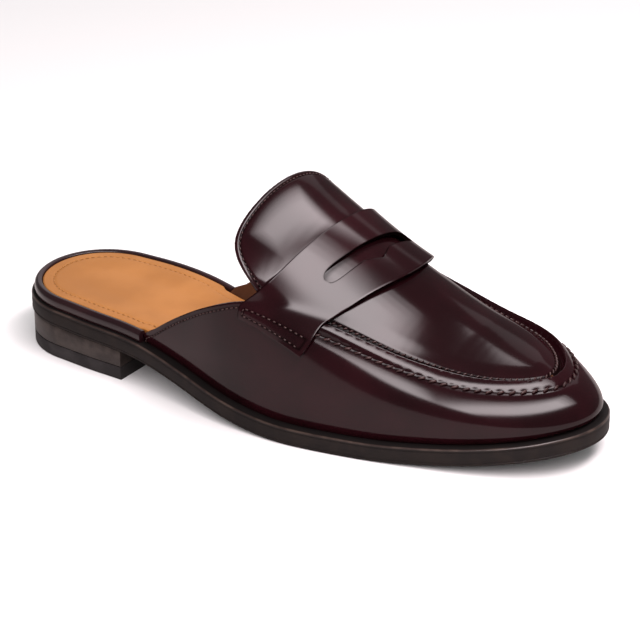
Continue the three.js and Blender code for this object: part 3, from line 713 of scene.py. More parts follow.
# %% The apron
APRON_LINES, APRON_COLUMNS, APRON_CROWDING = 260, 120, 0.45
STITCHED_IN, TUCK, PULL, CUSHION = 2.8, 0.45, 0.28, 0.40
BORDER_PAINTED_SHADE, BORDER_MIDDLE, BORDER_REACH = 0.85, 1.9, 1.75


def spread_angles(count, crowding):
    """Angles from 0 to pi that lie closer together at both ends."""
    even = np.linspace(0, 2 * np.pi, count)
    return (even - crowding * np.sin(even)) / 2


def crown_height(angle):
    arch = np.clip(np.sin(angle), 1e-9, 1)
    return lambda s: seam_height(s) - SEAM_STEP * seam_fade(s) + crest(s) * arch ** (2 * fullness(s))


def apron_grid():
    angle = spread_angles(APRON_COLUMNS, APRON_CROWDING)
    height = crown_height(angle)
    start = np.where(angle < np.pi / 2, throat_share(OUTER, height), throat_share(INNER, height))
    run = np.linspace(0, 1, APRON_LINES)[:, None]
    first, last = np.arccos(1 - 2 * start)[None], np.pi
    share = 0.5 - 0.5 * np.cos(lerp(first, last, run))
    return crown_point(share, np.broadcast_to(angle, share.shape), 1.0), share


apron_base, apron_share = apron_grid()
apron_out = outward(apron_base)
apron_border = resampled(np.concatenate([apron_base[:, 0], apron_base[::-1, -1]]), 1200)
border_gap = nearest(apron_base, apron_border)[0]
apron_fade = seam_fade(apron_share)
tuck = -TUCK * bell(border_gap, 1.6) - PULL * bell(border_gap - STITCHED_IN, 0.7)
fill = CUSHION * smooth(border_gap, 3.5, 11.0)
apron_skin = apron_base + apron_out * (apron_fade * (tuck + fill))[..., None]
# Painted shade in the stitched groove along the apron's border.
apron_painted_shade = apron_fade * BORDER_PAINTED_SHADE * np.exp(-((border_gap - BORDER_MIDDLE) / BORDER_REACH) ** 6)
apron = new_piece("apron", *shell(apron_skin, apron_base - apron_out * LEATHER_WALL), BURGUNDY,
                  "upper_leather", both_faces(apron_painted_shade))
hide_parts("upper")
BEHIND_TOE = slice(None, -12)
lining("apron_lining", apron_base[BEHIND_TOE], apron_out[BEHIND_TOE], LEATHER_WALL + LINING_GAP)

# %% [markdown]
# ## The tongue
# The tongue stands up behind the strap and its front end slips under the throat's edge. Its rim is a
# folded edge, higher in the middle and swept forward at both sides.

# %% The tongue
TONGUE_LENGTH, TONGUE_SWEEP, TONGUE_CORNER, TONGUE_SKEW = 27.4, 17.0, 20, 3.0
TONGUE_LAP, TONGUE_DEPTH, TONGUE_WALL, TONGUE_CLEARANCE, JOGGLE = 10.0, 0.85, 1.8, 0.9, 5.0
STRAP_BACK_AT_CREST = -0.60
TONGUE_LINES, TONGUE_COLUMNS, SIDE_COLUMNS, TONGUE_CROWDING = 120, 150, 10, 0.6
RIM_STITCH, RIM_BEAD, RIM_GROOVE, TONGUE_LINING = 2.5, 0.20, 0.34, 0.65


def tongue_grid():
    """Lines from the rim to the lapped front end. Each line keeps its place across the last: an angle
    over the crown, or a rise on the wall at both sides."""
    angle = spread_angles(TONGUE_COLUMNS, TONGUE_CROWDING)
    mouth = STRAP_STATION + STRAP_WIDTH * STRAP_BACK_AT_CREST - TONGUE_LENGTH
    front = THROAT_CREST + TONGUE_LAP
    run = np.linspace(0, 1, TONGUE_LINES)[:, None] ** 1.1
    side_angle = np.concatenate([np.zeros(SIDE_COLUMNS), angle, np.full(SIDE_COLUMNS, np.pi)])
    across = np.cos(side_angle)
    swept = TONGUE_SWEEP * np.abs(across) ** TONGUE_CORNER - TONGUE_SKEW * across
    share = lerp((mouth + swept)[None], front, run) / SOLE_LENGTH
    crown = crown_point(share[:, SIDE_COLUMNS:-SIDE_COLUMNS],
                        np.broadcast_to(angle, (TONGUE_LINES, TONGUE_COLUMNS)), 1.0)
    rise = np.linspace(TONGUE_DEPTH, 1, SIDE_COLUMNS + 1)[:-1]
    shape = TONGUE_LINES, SIDE_COLUMNS
    outer = wall_point(turn_of(share[:, :SIDE_COLUMNS], OUTER), np.broadcast_to(rise, shape))
    inner = wall_point(turn_of(share[:, -SIDE_COLUMNS:], INNER), np.broadcast_to(rise[::-1], shape))
    return np.concatenate([outer, crown, inner], 1), share


tongue_base, tongue_share = tongue_grid()
tongue_out = outward(tongue_base)


def tongue_sink(grid, share):
    """How deep the tongue lies: level behind the throat's edge, and below the upper's wall in front of
    it, with a soft step between that lies further back at the sides."""
    over_sole = grid[..., 2] - sole_top(share) - CLEARANCE
    columns = grid.shape[1]
    outer = np.arange(columns) < columns / 2
    edge = np.where(outer[None], throat_at[OUTER](over_sole), throat_at[INNER](over_sole))
    steep = np.abs(np.linspace(-1, 1, columns))[None]
    clear = JOGGLE * (0.5 + 0.5 * steep)
    return (UPPER_WALL + TONGUE_CLEARANCE) * smooth((grid[..., 0] - edge + clear) / JOGGLE, -1, 0)


sink = tongue_sink(tongue_base, tongue_share)
tongue_rim = resampled(np.concatenate([tongue_base[::-1, 0], tongue_base[0], tongue_base[:, -1]]), 1200)
rim_gap = nearest(tongue_base, tongue_rim)[0]
rim_row = bell(rim_gap - RIM_STITCH, 0.5)
bead = RIM_BEAD * bell(rim_gap - 1.2, 0.6) - RIM_GROOVE * rim_row
tongue_skin = tongue_base - tongue_out * (sink + rounded_drop(rim_gap, 0.7) - bead)[..., None]
inner_depth = sink + TONGUE_WALL - LINING_WALL - rounded_drop(rim_gap, 0.3)
tongue_back = tongue_base - tongue_out * inner_depth[..., None]
# The row of stitches near the rim is painted dark, as shade in its groove.
tongue = new_piece("tongue_leather", *shell(tongue_skin, tongue_back), BURGUNDY, "upper_leather",
                   both_faces(0.95 * rim_row))
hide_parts("tongue")
tongue_under = tongue_base - tongue_out * (sink + TONGUE_WALL - TONGUE_LINING)[..., None]
lining("tongue_lining", tongue_under, tongue_out, 0.0, wall=TONGUE_LINING, skip=2)

# %% [markdown]
# ## The saddle strap
# The strap lies over the instep, a little proud of the apron at its front edge, and its lower ends are
# sewn to the quarters. Its seat is worked out on the last, drawn tight and then smoothed, because stiff
# leather bridges small hollows. A slot with a small notch is cut across its top: the grid has two
# bands, one behind and one in front of the slot, that meet again past its ends.

# %% The strap's seat
STRAP_WALL, STRAP_CLEARANCE, STRAP_BRIDGING, STRAP_LIFT = 1.8, 0.55, 0.3, 1.0
STRAP_SEAM_GIRTH, END_BACK, END_FRONT = 0.70, 0.74, 0.575
strap_back = curve((0, -.600), (.15, -.635), (.30, -.695), (.45, -.790), (.60, -.985), (.75, -1.245),
                   (.90, -1.290), (1, -1.290))
strap_front = curve((0, .500), (.15, .443), (.30, .317), (.45, .183), (.60, .027), (.75, -.067),
                    (.90, -.157), (1, -.290))
SEAT_ROWS, SEAT_COLUMNS = 61, 401


def strap_seat(across, girth):
    """Where the strap lies: across 0 is its back edge and 1 its front edge, girth runs from -1 at the
    outer end over the crest to 1 at the inner end."""
    reach = np.abs(girth)
    station = STRAP_STATION + STRAP_WIDTH * lerp(strap_back(reach), strap_front(reach), across)
    share = station / SOLE_LENGTH
    angle = np.pi / 2 * (1 + np.clip(girth / STRAP_SEAM_GIRTH, -1, 1))
    over = crown_point(share, angle, 0.0)
    down = np.clip((reach - STRAP_SEAM_GIRTH) / (1 - STRAP_SEAM_GIRTH), 0, 1)
    rise = lerp(1.0, lerp(END_BACK, END_FRONT, across), down)
    side = np.where(girth < 0, OUTER, INNER)
    wall = wall_point(turn_of(share, side), rise)
    return np.where((reach <= STRAP_SEAM_GIRTH)[..., None], over, wall)


def taut(grid):
    """Each row drawn tight: where the middle between two points some columns away lies outside the
    row, the row moves out to it. From long reaches to short ones this gives a band pulled over the
    last, straight across each hollow."""
    for reach in 5 * (80, 56, 40, 28, 20, 14, 10, 7, 5, 3, 2):
        mean = (grid[:, 2 * reach:] + grid[:, :-2 * reach]) / 2
        inner = grid[:, reach:-reach]
        along = grid[:, reach + 1:len(grid[0]) - reach + 1] - grid[:, reach - 1:-reach - 1]
        move = mean - inner
        outside = move[..., 2] * along[..., 1] - move[..., 1] * along[..., 2] > 0
        grid = grid.copy()
        grid[:, reach:-reach] = np.where(outside[..., None], mean, inner)
    return grid


def stiff(grid):
    """The grid replaced by the nearest surface, in least squares, whose points are polynomials of the
    twelfth degree along the girth and the second across. Stiff leather takes no tighter bends."""
    along, across = np.meshgrid(np.linspace(-1, 1, grid.shape[1]), np.linspace(-1, 1, grid.shape[0]))
    terms = np.polynomial.chebyshev.chebvander2d(along.ravel(), across.ravel(), [12, 2])
    weights = np.linalg.lstsq(terms, grid.reshape(-1, 3), rcond=None)[0]
    fitted = (terms @ weights).reshape(grid.shape)
    moved = float(np.linalg.norm(fitted - grid, axis=-1).max())
    print("stiff seat differs by up to", round(moved, 2), "mm")
    return fitted


seat_across = np.linspace(0, 1, SEAT_ROWS)[:, None]
seat_girth = np.linspace(-1, 1, SEAT_COLUMNS)[None, :]
seat = stiff(taut(strap_seat(*np.broadcast_arrays(seat_across, seat_girth))))
seat_out = outward(seat)
strap_widths = np.linalg.norm(seat[-1] - seat[0], axis=-1)
print("strap width at its crest:", round(float(strap_widths[SEAT_COLUMNS // 2]), 1), "mm")

# %% The slot and the strap
SLOT_HALF, SLOT_WIDTH, SLOT_SWEEP, SLOT_SKEW, SLOT_ROUNDNESS = 29.5, 5.6, 3.2, 3.0, 12
SLOT_STATION, SLOT_CENTRE, NOTCH, NOTCH_PLACE, NOTCH_SPAN = 183.8, -4.1, 3.0, -0.08, 0.28
BAND_ROWS, ROWS_CALM_FROM, ROWS_CALM = 18, 0.62, 0.95


def slot_edges():
    """The share across the strap of the slot's two edges, at each column of the seat: where the
    strap's station passes the bowed line of the slot less or plus its half width. Past the slot's ends
    the two are one line, which goes over to the strap's middle line."""
    v = np.clip((seat[..., 1] - SLOT_CENTRE) / SLOT_HALF, -1, 1)
    half = SLOT_WIDTH / 2 * np.sqrt(np.clip(1 - v ** SLOT_ROUNDNESS, 0, 1))
    notch = NOTCH * np.clip(1 - np.abs(v - NOTCH_PLACE) / NOTCH_SPAN, 0, 1)
    bow = SLOT_STATION - SLOT_SWEEP * v ** 2 + SLOT_SKEW * v
    shares = seat_across[:, 0]
    edges = []
    for line in (bow - half, bow + half + notch):
        past = seat[..., 0] - line
        edges.append(np.array([np.interp(0, past[:, k], shares) for k in range(SEAT_COLUMNS)]))
    open_slot = edges[1] - edges[0] > 1e-4
    middle = (edges[0] + edges[1]) / 2
    calm = smooth(np.abs(seat_girth[0]), ROWS_CALM_FROM, ROWS_CALM)
    edges = [np.where(open_slot, e, lerp(middle, 0.5, calm)) for e in edges]
    return edges[0], edges[1], open_slot


slot_back, slot_front, slot_open = slot_edges()
band = 0.5 - 0.5 * np.cos(np.pi * np.linspace(0, 1, BAND_ROWS))[:, None]
strap_across = np.concatenate([band * slot_back[None], lerp(slot_front[None], 1.0, band)])


def on_seat(grid, across):
    """Values of a seat grid at any share across, column by column, by straight steps between rows."""
    at = across * (SEAT_ROWS - 1)
    k = np.clip(at.astype(int), 0, SEAT_ROWS - 2)
    f = (at - k)[..., None]
    j = np.broadcast_to(np.arange(SEAT_COLUMNS), across.shape)
    return lerp(grid[k, j], grid[k + 1, j], f)


strap_seat_points, strap_out = on_seat(seat, strap_across), on_seat(seat_out, strap_across)
girth_run = np.cumsum(np.r_[0, np.linalg.norm(np.diff(seat[SEAT_ROWS // 2], axis=0), axis=-1)])
end_gap = np.minimum(girth_run, girth_run[-1] - girth_run)[None]
side_gap = np.minimum(strap_across, 1 - strap_across) * strap_widths
slot_line = np.concatenate([strap_seat_points[BAND_ROWS - 1][slot_open],
                            strap_seat_points[BAND_ROWS][slot_open][::-1]])
slot_gap = nearest(strap_seat_points, resampled(slot_line, 700))[0]
back_gap, front_gap = strap_across * strap_widths, (1 - strap_across) * strap_widths
sharp_gap, round_gap = np.minimum(back_gap, slot_gap), np.minimum(front_gap, end_gap)
lift = STRAP_CLEARANCE + STRAP_BRIDGING + STRAP_LIFT * strap_across ** 2
fall = np.maximum(rounded_drop(sharp_gap, 0.06), rounded_drop(round_gap, 0.22))
strap_skin = strap_seat_points + strap_out * (lift + STRAP_WALL - fall)[..., None]
strap_under = strap_seat_points + strap_out * lift[..., None]


def slotted_shell(skin, under):
    """A wall of two bands. The cells between the bands are left out, and where the slot is open its
    two sides get a rim."""
    points, faces = shell(skin, under)
    rows, columns = skin.shape[:2]
    count = rows * columns
    row_of = (faces % count) // columns
    between = (row_of == BAND_ROWS - 1).any(1) & (row_of == BAND_ROWS).any(1)
    j = np.flatnonzero(slot_open[:-1] | slot_open[1:])
    a, b = (BAND_ROWS - 1) * columns + j, BAND_ROWS * columns + j
    back = np.stack([a, a + 1, a + 1 + count, a + count], -1)
    front = np.stack([b + 1, b, b + count, b + 1 + count], -1)
    ends = faces[between]
    ends = ends[(ends >= count).any(1) & (ends < count).any(1)]
    return points, np.concatenate([faces[~between], ends, back, front])


SEWN_FROM, SEWN_TO, SEWN_SIDE = 2.4, 6.4, 2.2
# Painted shade: in the grooves of the stitched ends, as a thin painted shadow line along the back edge and
# round the slot, and over the underside. The cut walls darken towards the underside, partly painted shade
# and partly a cut edge dyed dark.
beyond = np.maximum(np.maximum(SEWN_FROM - end_gap, end_gap - SEWN_TO), SEWN_SIDE - side_gap)
strap_painted_shade = 0.8 * bell(beyond, 0.45) * (end_gap < SEWN_TO + 2)
strap_painted_shade = np.maximum(strap_painted_shade, 0.95 * bell(sharp_gap, 0.3))
strap = new_piece("strap_leather", *slotted_shell(strap_skin, strap_under), BURGUNDY, "upper_leather",
                  both_faces(strap_painted_shade, under=0.9))
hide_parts("saddle_strap")

# %% [markdown]
# The slot shows the apron below it. Right under the slot's back edge a painted shadow darkens the apron,
# and it is added here to the painted shade that its points already hold.

# %% The painted shadow below the slot
SHADE_REACH, SHADE_FORWARD, SHADE_DOWN, SHADE_DARK = 1.7, 0.8, 0.6, 0.97
slot_edge = strap_under[BAND_ROWS - 1][slot_open] + [SHADE_FORWARD, 0, -SHADE_DOWN]
places = np.empty(3 * len(apron.data.vertices), np.float32)
apron.data.vertices.foreach_get("co", places)
under_slot = nearest(places.reshape(-1, 3) / MM - SHIFT, resampled(slot_edge, 300))[0]
dark = np.empty(len(apron.data.vertices), np.float32)
apron.data.attributes["painted_shade"].data.foreach_get("value", dark)
dark = np.maximum(dark, SHADE_DARK * np.exp(-(under_slot / SHADE_REACH) ** 4)).astype(np.float32)
apron.data.attributes["painted_shade"].data.foreach_set("value", dark)
print("darkened points below the slot:", int((under_slot < SHADE_REACH).sum()))

# %% [markdown]
# ## The bottom: sole, heel and top piece
# These are slabs with the sole's outline. Their edges are dressed with a hot iron, which leaves a fine
# bead along the top and the bottom of the edge with a slightly rounded face between them. A slab is a
# stack of closed loops, each a little further in or out than the last.

# %% Slabs with a dressed edge
SIDE_STATIONS = 300


def slab(name, end, profile, material, slot, painted_shades=None):
    """Closed loops round the outline, one for each (inset, height function) of the profile, from the lowest
    up, each with its painted shade. The floor and the top are strips from side to side."""
    last = float(turn_of(end, OUTER))
    outer = np.linspace(0, last, SIDE_STATIONS)
    turn = np.concatenate([outer, 1 - outer[::-1]])
    share = share_of(turn)
    loops = [np.concatenate([inside_edge(turn, np.full_like(turn, inset)), height(share)[:, None]], -1)
             for inset, height in profile]
    ring = len(turn)
    faces = [quads_of(len(loops), ring, wrap=True)[:, ::-1]]
    i = np.arange(SIDE_STATIONS - 1)
    strip = np.stack([i, i + 1, ring - 2 - i, ring - 1 - i], -1)
    faces += [strip[:, ::-1], strip + (len(loops) - 1) * ring]
    painted_shade = None if painted_shades is None else np.repeat(painted_shades, ring)
    return new_piece(name, np.concatenate(loops), np.concatenate(faces), material, slot, painted_shade=painted_shade)


def above_underside(up):
    return lambda share: underside(share) + up


SOLE_PROFILE = ((1.2, 0), (.45, .10), (.08, .45), (0, .85), (.04, 1.10), (.26, 1.30), (.14, 1.65),
                (.04, 2.6), (0, 4.0), (.04, 5.4), (.14, 6.25), (.28, 6.55), (.04, 6.80), (0, 7.15),
                (.10, 7.60), (.45, 7.96), (.9, SOLE_THICKNESS))
# Painted shade: the face of the edge is painted dark and matt with no coat, so only the bead at its top
# stays light and glossy, and the narrow top beside the upper is painted dark as shade in the recess under
# it.
SOLE_PAINTED_SHADES = [.8] * 14 + [0, 0, .95]
outsole = slab("outsole_edge", 1.0, [(inset, above_underside(up)) for inset, up in SOLE_PROFILE],
               WELT_EDGE, "sole_edge", SOLE_PAINTED_SHADES)
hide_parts("outsole")

HEEL_LENGTH, HEEL_STEP, TOP_PIECE = 72.0, 0.7, 6.3
breast = HEEL_LENGTH / SOLE_LENGTH


def level(height):
    return lambda share: np.full_like(share, height)


lift_profile = [(HEEL_STEP + .25, level(TOP_PIECE + CLEARANCE)),
                (HEEL_STEP, level(TOP_PIECE + CLEARANCE + .3)),
                (HEEL_STEP, above_underside(-CLEARANCE - .3)),
                (HEEL_STEP + .25, above_underside(-CLEARANCE))]
heel = slab("heel_stack", breast, lift_profile, SOLE_EDGE, "sole_edge")
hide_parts("heel_lift")
cap_profile = [(HEEL_STEP + .6, level(0)), (HEEL_STEP + .15, level(.15)), (HEEL_STEP, level(.6)),
               (HEEL_STEP, level(TOP_PIECE - .3)), (HEEL_STEP + .25, level(TOP_PIECE))]
cap_piece = slab("heel_top_piece", breast, cap_profile, HEEL_RUBBER, "heel_rubber")
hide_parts("top_piece")

# %% [markdown]
# ## The footbed
# The sock is soft leather over a thin cushion. It is drawn down a little by a row of stitches near its
# border, and inside that row it is dished where the foot stands. The binding is a strip of the upper's
# leather rolled over the footbed's edge at the open heel.

# %% The sock
INSOLE_THICKNESS, SOCK_COLUMNS, SOCK_LINES, SOCK_STITCH = 4.6, 90, 260, 5.2
BINDING_MARGIN, BINDING_WIDTH, BINDING_HEIGHT = 1.5, 3.9, 5.6
NARROWING = 0.015
DISH, STITCH_DENT = 0.9, 0.30


def sock_inset(share, side):
    """Inside the binding at the heel, and inside the upper's wall further forward."""
    corner = QUARTER_BACK[side] / SOLE_LENGTH
    beside_binding = BINDING_MARGIN + BINDING_WIDTH + CLEARANCE
    in_upper = WELT_MARGIN + UPPER_WALL + 2 * CLEARANCE
    return lerp(beside_binding, in_upper, smooth(share, corner - NARROWING, corner - 0.2 * NARROWING))


sock_turn = np.linspace(0, 0.5, SOCK_LINES)
sock_share = share_of(sock_turn)
sock_sides = [inside_edge(turn_of(sock_share, side), sock_inset(sock_share, side))
              for side in (OUTER, INNER)]
sock_span = (1 - np.cos(np.linspace(0, np.pi, SOCK_COLUMNS))) / 2
sock_flat = lerp(sock_sides[0][:, None], sock_sides[1][:, None], sock_span[None, :, None])
sock_outline = resampled(np.concatenate([sock_sides[0], sock_sides[1][::-1]]), 1600)
sock_gap = nearest(sock_flat, sock_outline)[0]
sock_level = sole_top(sock_share)[:, None] + CLEARANCE
dish = DISH * smooth(sock_gap, 6, 22) + STITCH_DENT * bell(sock_gap - SOCK_STITCH, 0.7)
sock_top = sock_level + INSOLE_THICKNESS - dish - rounded_drop(sock_gap, 0.8)
sock_skin = np.concatenate([sock_flat, sock_top[..., None]], -1)
sock_under = np.concatenate([sock_flat, np.broadcast_to(sock_level, sock_gap.shape)[..., None]], -1)
sock = new_piece("footbed_sock", *shell(sock_skin, sock_under), SOCK, "sock")
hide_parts("insole")

# %% The rolled binding
BINDING_RINGS, BINDING_SIDES, PAST_CORNER = 420, 28, 0.5
binding_in = curve((0, .10), (.14, 1), (.30, 1), (.42, .96), (.52, .80), (.64, .50), (.78, .20), (.90, .02),
                   (1, 0))
binding_up = curve((0, 0), (.14, 0), (.30, .72), (.42, .90), (.52, .97), (.64, 1.0), (.78, .88), (.90, .58),
                   (1, .20))


def rolled_binding():
    """A rounded profile carried round the heel's edge, from the inner quarter's corner to the outer
    one. Both ends close to a point inside the roll."""
    ends = [float(turn_of((QUARTER_BACK[side] + PAST_CORNER) / SOLE_LENGTH, side))
            for side in (INNER, OUTER)]
    turn = np.linspace(ends[0] - 1, ends[1], BINDING_RINGS)
    u = np.linspace(0, 1, BINDING_SIDES + 1)[:-1]
    inset = BINDING_MARGIN + binding_in(u) * BINDING_WIDTH
    turns, insets = np.broadcast_arrays(turn[:, None], inset[None])
    flat = inside_edge(turns, insets)
    level_at = sole_top(share_of(turn))[:, None] + CLEARANCE
    height = level_at + binding_up(u)[None] * (BINDING_HEIGHT - CLEARANCE)
    rings = np.concatenate([flat, height[..., None]], -1)
    middle = rings.mean(1, keepdims=True)
    first = np.broadcast_to(middle[:1], rings[:1].shape)
    final = np.broadcast_to(middle[-1:], rings[:1].shape)
    return np.concatenate([first, rings, final])


rings = rolled_binding()
binding_faces = quads_of(*rings.shape[:2], wrap=True)
binding = new_piece("binding_roll", rings.reshape(-1, 3), binding_faces, FOLDED_EDGE, "upper_leather")
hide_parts("footbed_binding")

# %% [markdown]
# ## Stitches
# A stitch is a short length of thread whose ends dive into the leather. One small capsule, bent down at
# both ends, is worked out for a whole row at once from the line that the row follows and the square
# direction of the surface below it.

# %% A row of stitches
STITCH_RINGS, STITCH_SIDES, DIVE, TAPER = 7, 6, 1.6, 0.85
LONG_STITCH = {"length": 3.5, "gap": 1.25, "radius": 0.58, "slant": 1.5, "sunk": -0.15}
SHORT_STITCH = {"length": 2.0, "gap": 0.7, "radius": 0.52, "slant": 1.1, "sunk": -0.1}
EDGE_STITCH = {"length": 1.5, "gap": 0.9, "radius": 0.34}
STRAP_STITCH = {"length": 1.6, "gap": 0.9, "radius": 0.34}
STRAP_BACK_STITCH = {"length": 1.4, "gap": 0.7, "radius": 0.34}
SOCK_ROW_STITCH = {"length": 2.0, "gap": 1.0, "radius": 0.28, "sunk": 0.35}


def stitch_row(line, out, length, gap, radius, slant=0.0, sunk=0.05):
    """Points and faces of the stitches along a line. Each runs forward by its length and, with a
    slant, across the row as well. sunk is the share of its radius that lies in the leather. Its height
    falls with the fourth power towards both ends."""
    run = arc(line)
    count = max(2, int(run[-1] / (length + gap)))
    pitch = run[-1] / count
    middle = (np.arange(count) + 0.5) * pitch

    def at(where):
        place = np.stack([np.interp(where, run, line[:, k]) for k in range(3)], -1)
        square = np.stack([np.interp(where, run, out[:, k]) for k in range(3)], -1)
        return place, square / np.linalg.norm(square, axis=-1, keepdims=True)

    half = length / 2 * pitch / (length + gap)
    u = np.linspace(-1, 1, STITCH_RINGS)
    place, square = at(middle[:, None] + u[None] * half)
    ahead = at(middle + 0.05)[0] - at(middle - 0.05)[0]
    ahead /= np.linalg.norm(ahead, axis=-1, keepdims=True)
    across = np.cross(square[:, STITCH_RINGS // 2], ahead)[:, None]
    height = radius * (1 - sunk) - DIVE * radius * u ** 4
    spine = place + across * (u * slant / 2)[None, :, None] + square * height[None, :, None]
    thick = radius * np.sqrt(np.clip(1 - TAPER * u ** 6, 0, 1))
    thick[[0, -1]] = 0
    turn = 2 * np.pi * np.arange(STITCH_SIDES) / STITCH_SIDES
    round_it = (np.cos(turn)[:, None] * across[:, :, None] + np.sin(turn)[:, None] * square[:, :, None])
    points = spine[:, :, None] + thick[None, :, None, None] * round_it
    cells = quads_of(STITCH_RINGS, STITCH_SIDES, wrap=True)
    faces = cells[None] + (np.arange(count) * STITCH_RINGS * STITCH_SIDES)[:, None, None]
    return points.reshape(-1, 3), faces.reshape(-1, 4)


def sewn(name, rows, material, slot):
    """Several rows joined as one piece."""
    points, faces, first = [], [], 0
    for row_points, row_faces in rows:
        points.append(row_points)
        faces.append(row_faces + first)
        first += len(row_points)
    return new_piece(name, np.concatenate(points), np.concatenate(faces), material, slot, sharp=80)


def line_at(grid, out, gap, distance, columns=True):
    """The line on a grid where a measured gap first passes the given distance, going inwards from the
    grid's last column, or from its first row. Points between grid lines are found by straight steps."""
    if columns:
        grid, out, gap = grid[:, ::-1], out[:, ::-1], gap[:, ::-1]
    else:
        grid, out, gap = grid.swapaxes(0, 1), out.swapaxes(0, 1), gap.swapaxes(0, 1)
    past = gap >= distance
    k = np.clip(past.argmax(1), 1, None)
    i = np.arange(len(grid))
    f = np.clip((distance - gap[i, k - 1]) / np.maximum(gap[i, k] - gap[i, k - 1], 1e-9), 0, 1)[:, None]
    keep = past.any(1)
    return lerp(grid[i, k - 1], grid[i, k], f)[keep], lerp(out[i, k - 1], out[i, k], f)[keep]


# %% The rows on the vamp and the apron
wall_skin, wall_out = vamp_top[:, :VAMP_RISES], vamp_out[:, :VAMP_RISES]
seam_gap = nearest(wall_skin, seam_line)[0]
ROWS_START = 0.30
in_front = seam_fade(share_of(vamp_turn[:, -1])) > ROWS_START
band_line, band_out = line_at(wall_skin[in_front], wall_out[in_front], seam_gap[in_front], BAND)
long_row = stitch_row(band_line, band_out, **LONG_STITCH)

apron_front = apron_fade.max(1) > ROWS_START
rows = [line_at(apron_skin[apron_front][:, ::way], apron_out[apron_front][:, ::way],
                border_gap[apron_front][:, ::way], STITCHED_IN) for way in (-1, 1)]
apron_line = np.concatenate([rows[0][0], rows[1][0][::-1]])
apron_square = np.concatenate([rows[0][1], rows[1][1][::-1]])
short_row = stitch_row(apron_line, apron_square, **SHORT_STITCH)
QUARTER_LINES = slice(None, 160)
top_rows = []
for line, grid_rows in ((toplines[0], slice(None)), (toplines[1], slice(None, None, -1))):
    grid, out = wall_skin[grid_rows][QUARTER_LINES], wall_out[grid_rows][QUARTER_LINES]
    top_line, top_out = line_at(grid, out, nearest(grid, line)[0], TOPLINE_STITCH, columns=False)
    top_rows.append(stitch_row(top_line, top_out, **EDGE_STITCH))
sewn("upper_stitches", [long_row, short_row, *top_rows], THREAD, "upper_leather")

# %% The rows on the tongue and the strap
INSIDE_RIM, SEWN_ACROSS, SEWN_BACK = slice(4, -4), (0.05, 0.93), 0.06
rim_side = tongue_skin[:, INSIDE_RIM]
rim_line, rim_out = line_at(rim_side, tongue_out[:, INSIDE_RIM], nearest(rim_side, tongue_rim)[0],
                            RIM_STITCH, columns=False)
tongue_row = stitch_row(rim_line, rim_out, **EDGE_STITCH)


def strap_box(first, last):
    """The rows that sew down one end of the strap: two lines across it at the given columns, and one
    along its back edge between them."""
    at = strap_across[:, 0]
    across = (at >= SEWN_ACROSS[0]) & (at <= SEWN_ACROSS[1])
    rows = [stitch_row(strap_skin[across, k], strap_out[across, k], **STRAP_STITCH) for k in (first, last)]
    back_row = int(np.argmin(np.abs(at - SEWN_BACK)))
    along = slice(first, last + 1)
    return [*rows, stitch_row(strap_skin[back_row, along], strap_out[back_row, along], **STRAP_BACK_STITCH)]


sewn_at = [SEWN_FROM, SEWN_TO, girth_run[-1] - SEWN_TO, girth_run[-1] - SEWN_FROM]
sewn_columns = [int(k) for k in np.searchsorted(girth_run, sewn_at)]
strap_rows = strap_box(*sewn_columns[:2]) + strap_box(*sewn_columns[2:])
sewn("strap_stitches", [tongue_row, *strap_rows], THREAD, "upper_leather")

# %% The row round the sock
open_share = sock_share[:200]
sock_ring = [inside_edge(turn_of(open_share, side), sock_inset(open_share, side) + SOCK_STITCH)
             for side in (OUTER, INNER)]
ring_flat = np.concatenate([sock_ring[0][::-1], sock_ring[1]])
ring_share = np.concatenate([open_share[::-1], open_share])
ring_height = sole_top(ring_share) + CLEARANCE + INSOLE_THICKNESS - STITCH_DENT
ring_line = resampled(np.concatenate([ring_flat, ring_height[:, None]], -1), 900)
upward = np.tile([0.0, 0.0, 1.0], (len(ring_line), 1))
sewn("sock_stitches", [stitch_row(ring_line, upward, **SOCK_ROW_STITCH)], SOCK_THREAD, "sock")

# %% [markdown]
# ## Camera, floor and light
# The camera stands low in front of the outer side, as the picture was taken. One long soft box hangs
# over the toe and reaches far out over the outer side: its reflection is the pale band that runs down
# the strap and the apron and along the toe's wall. A small one over the tongue carries the band on up,
# and a weak one beyond the inner side draws the far edges. The room is otherwise dark in reflections,
# so that polished leather looks deep, and the pale floor lights the wall from below.

# %% The camera
AZIMUTH, ELEVATION, DISTANCE, FOCAL, SENSOR = 32.0, 23.9, 1001.6, 124.45, 36.0
AIM = np.array([147.5, 0, 20.0]) + SHIFT
SLIDE_RIGHT, SLIDE_UP = -5.9, -11.6
azimuth, elevation = math.radians(AZIMUTH), math.radians(ELEVATION)
back = np.array([math.sin(azimuth) * math.cos(elevation), -math.cos(azimuth) * math.cos(elevation),
                 math.sin(elevation)])
right = np.array([math.cos(azimuth), math.sin(azimuth), 0])
up = np.cross(back, right)
eye = (AIM - SLIDE_RIGHT * right - SLIDE_UP * up + DISTANCE * back) * MM
camera = placed("camera", bpy.data.cameras.new("camera"))
camera.data.lens, camera.data.sensor_width = FOCAL, SENSOR
camera.location = eye
camera.rotation_euler = Matrix([right, up, back]).transposed().to_euler()
bpy.context.scene.camera = camera
print("camera at", [round(float(v), 3) for v in eye])


# %% Lights and floor
LIGHT_TINT = (1, .90, .92)
ROOM_LIGHT, ROOM_MIRRORED_CHANGE = 0.68, -0.54
FLOOR_SEEN, FLOOR_SHADED_IN_REFLECTIONS, FLOOR_HALF = (.74, .74, .74, 1), (.50, .46, .45, 1), 3.0


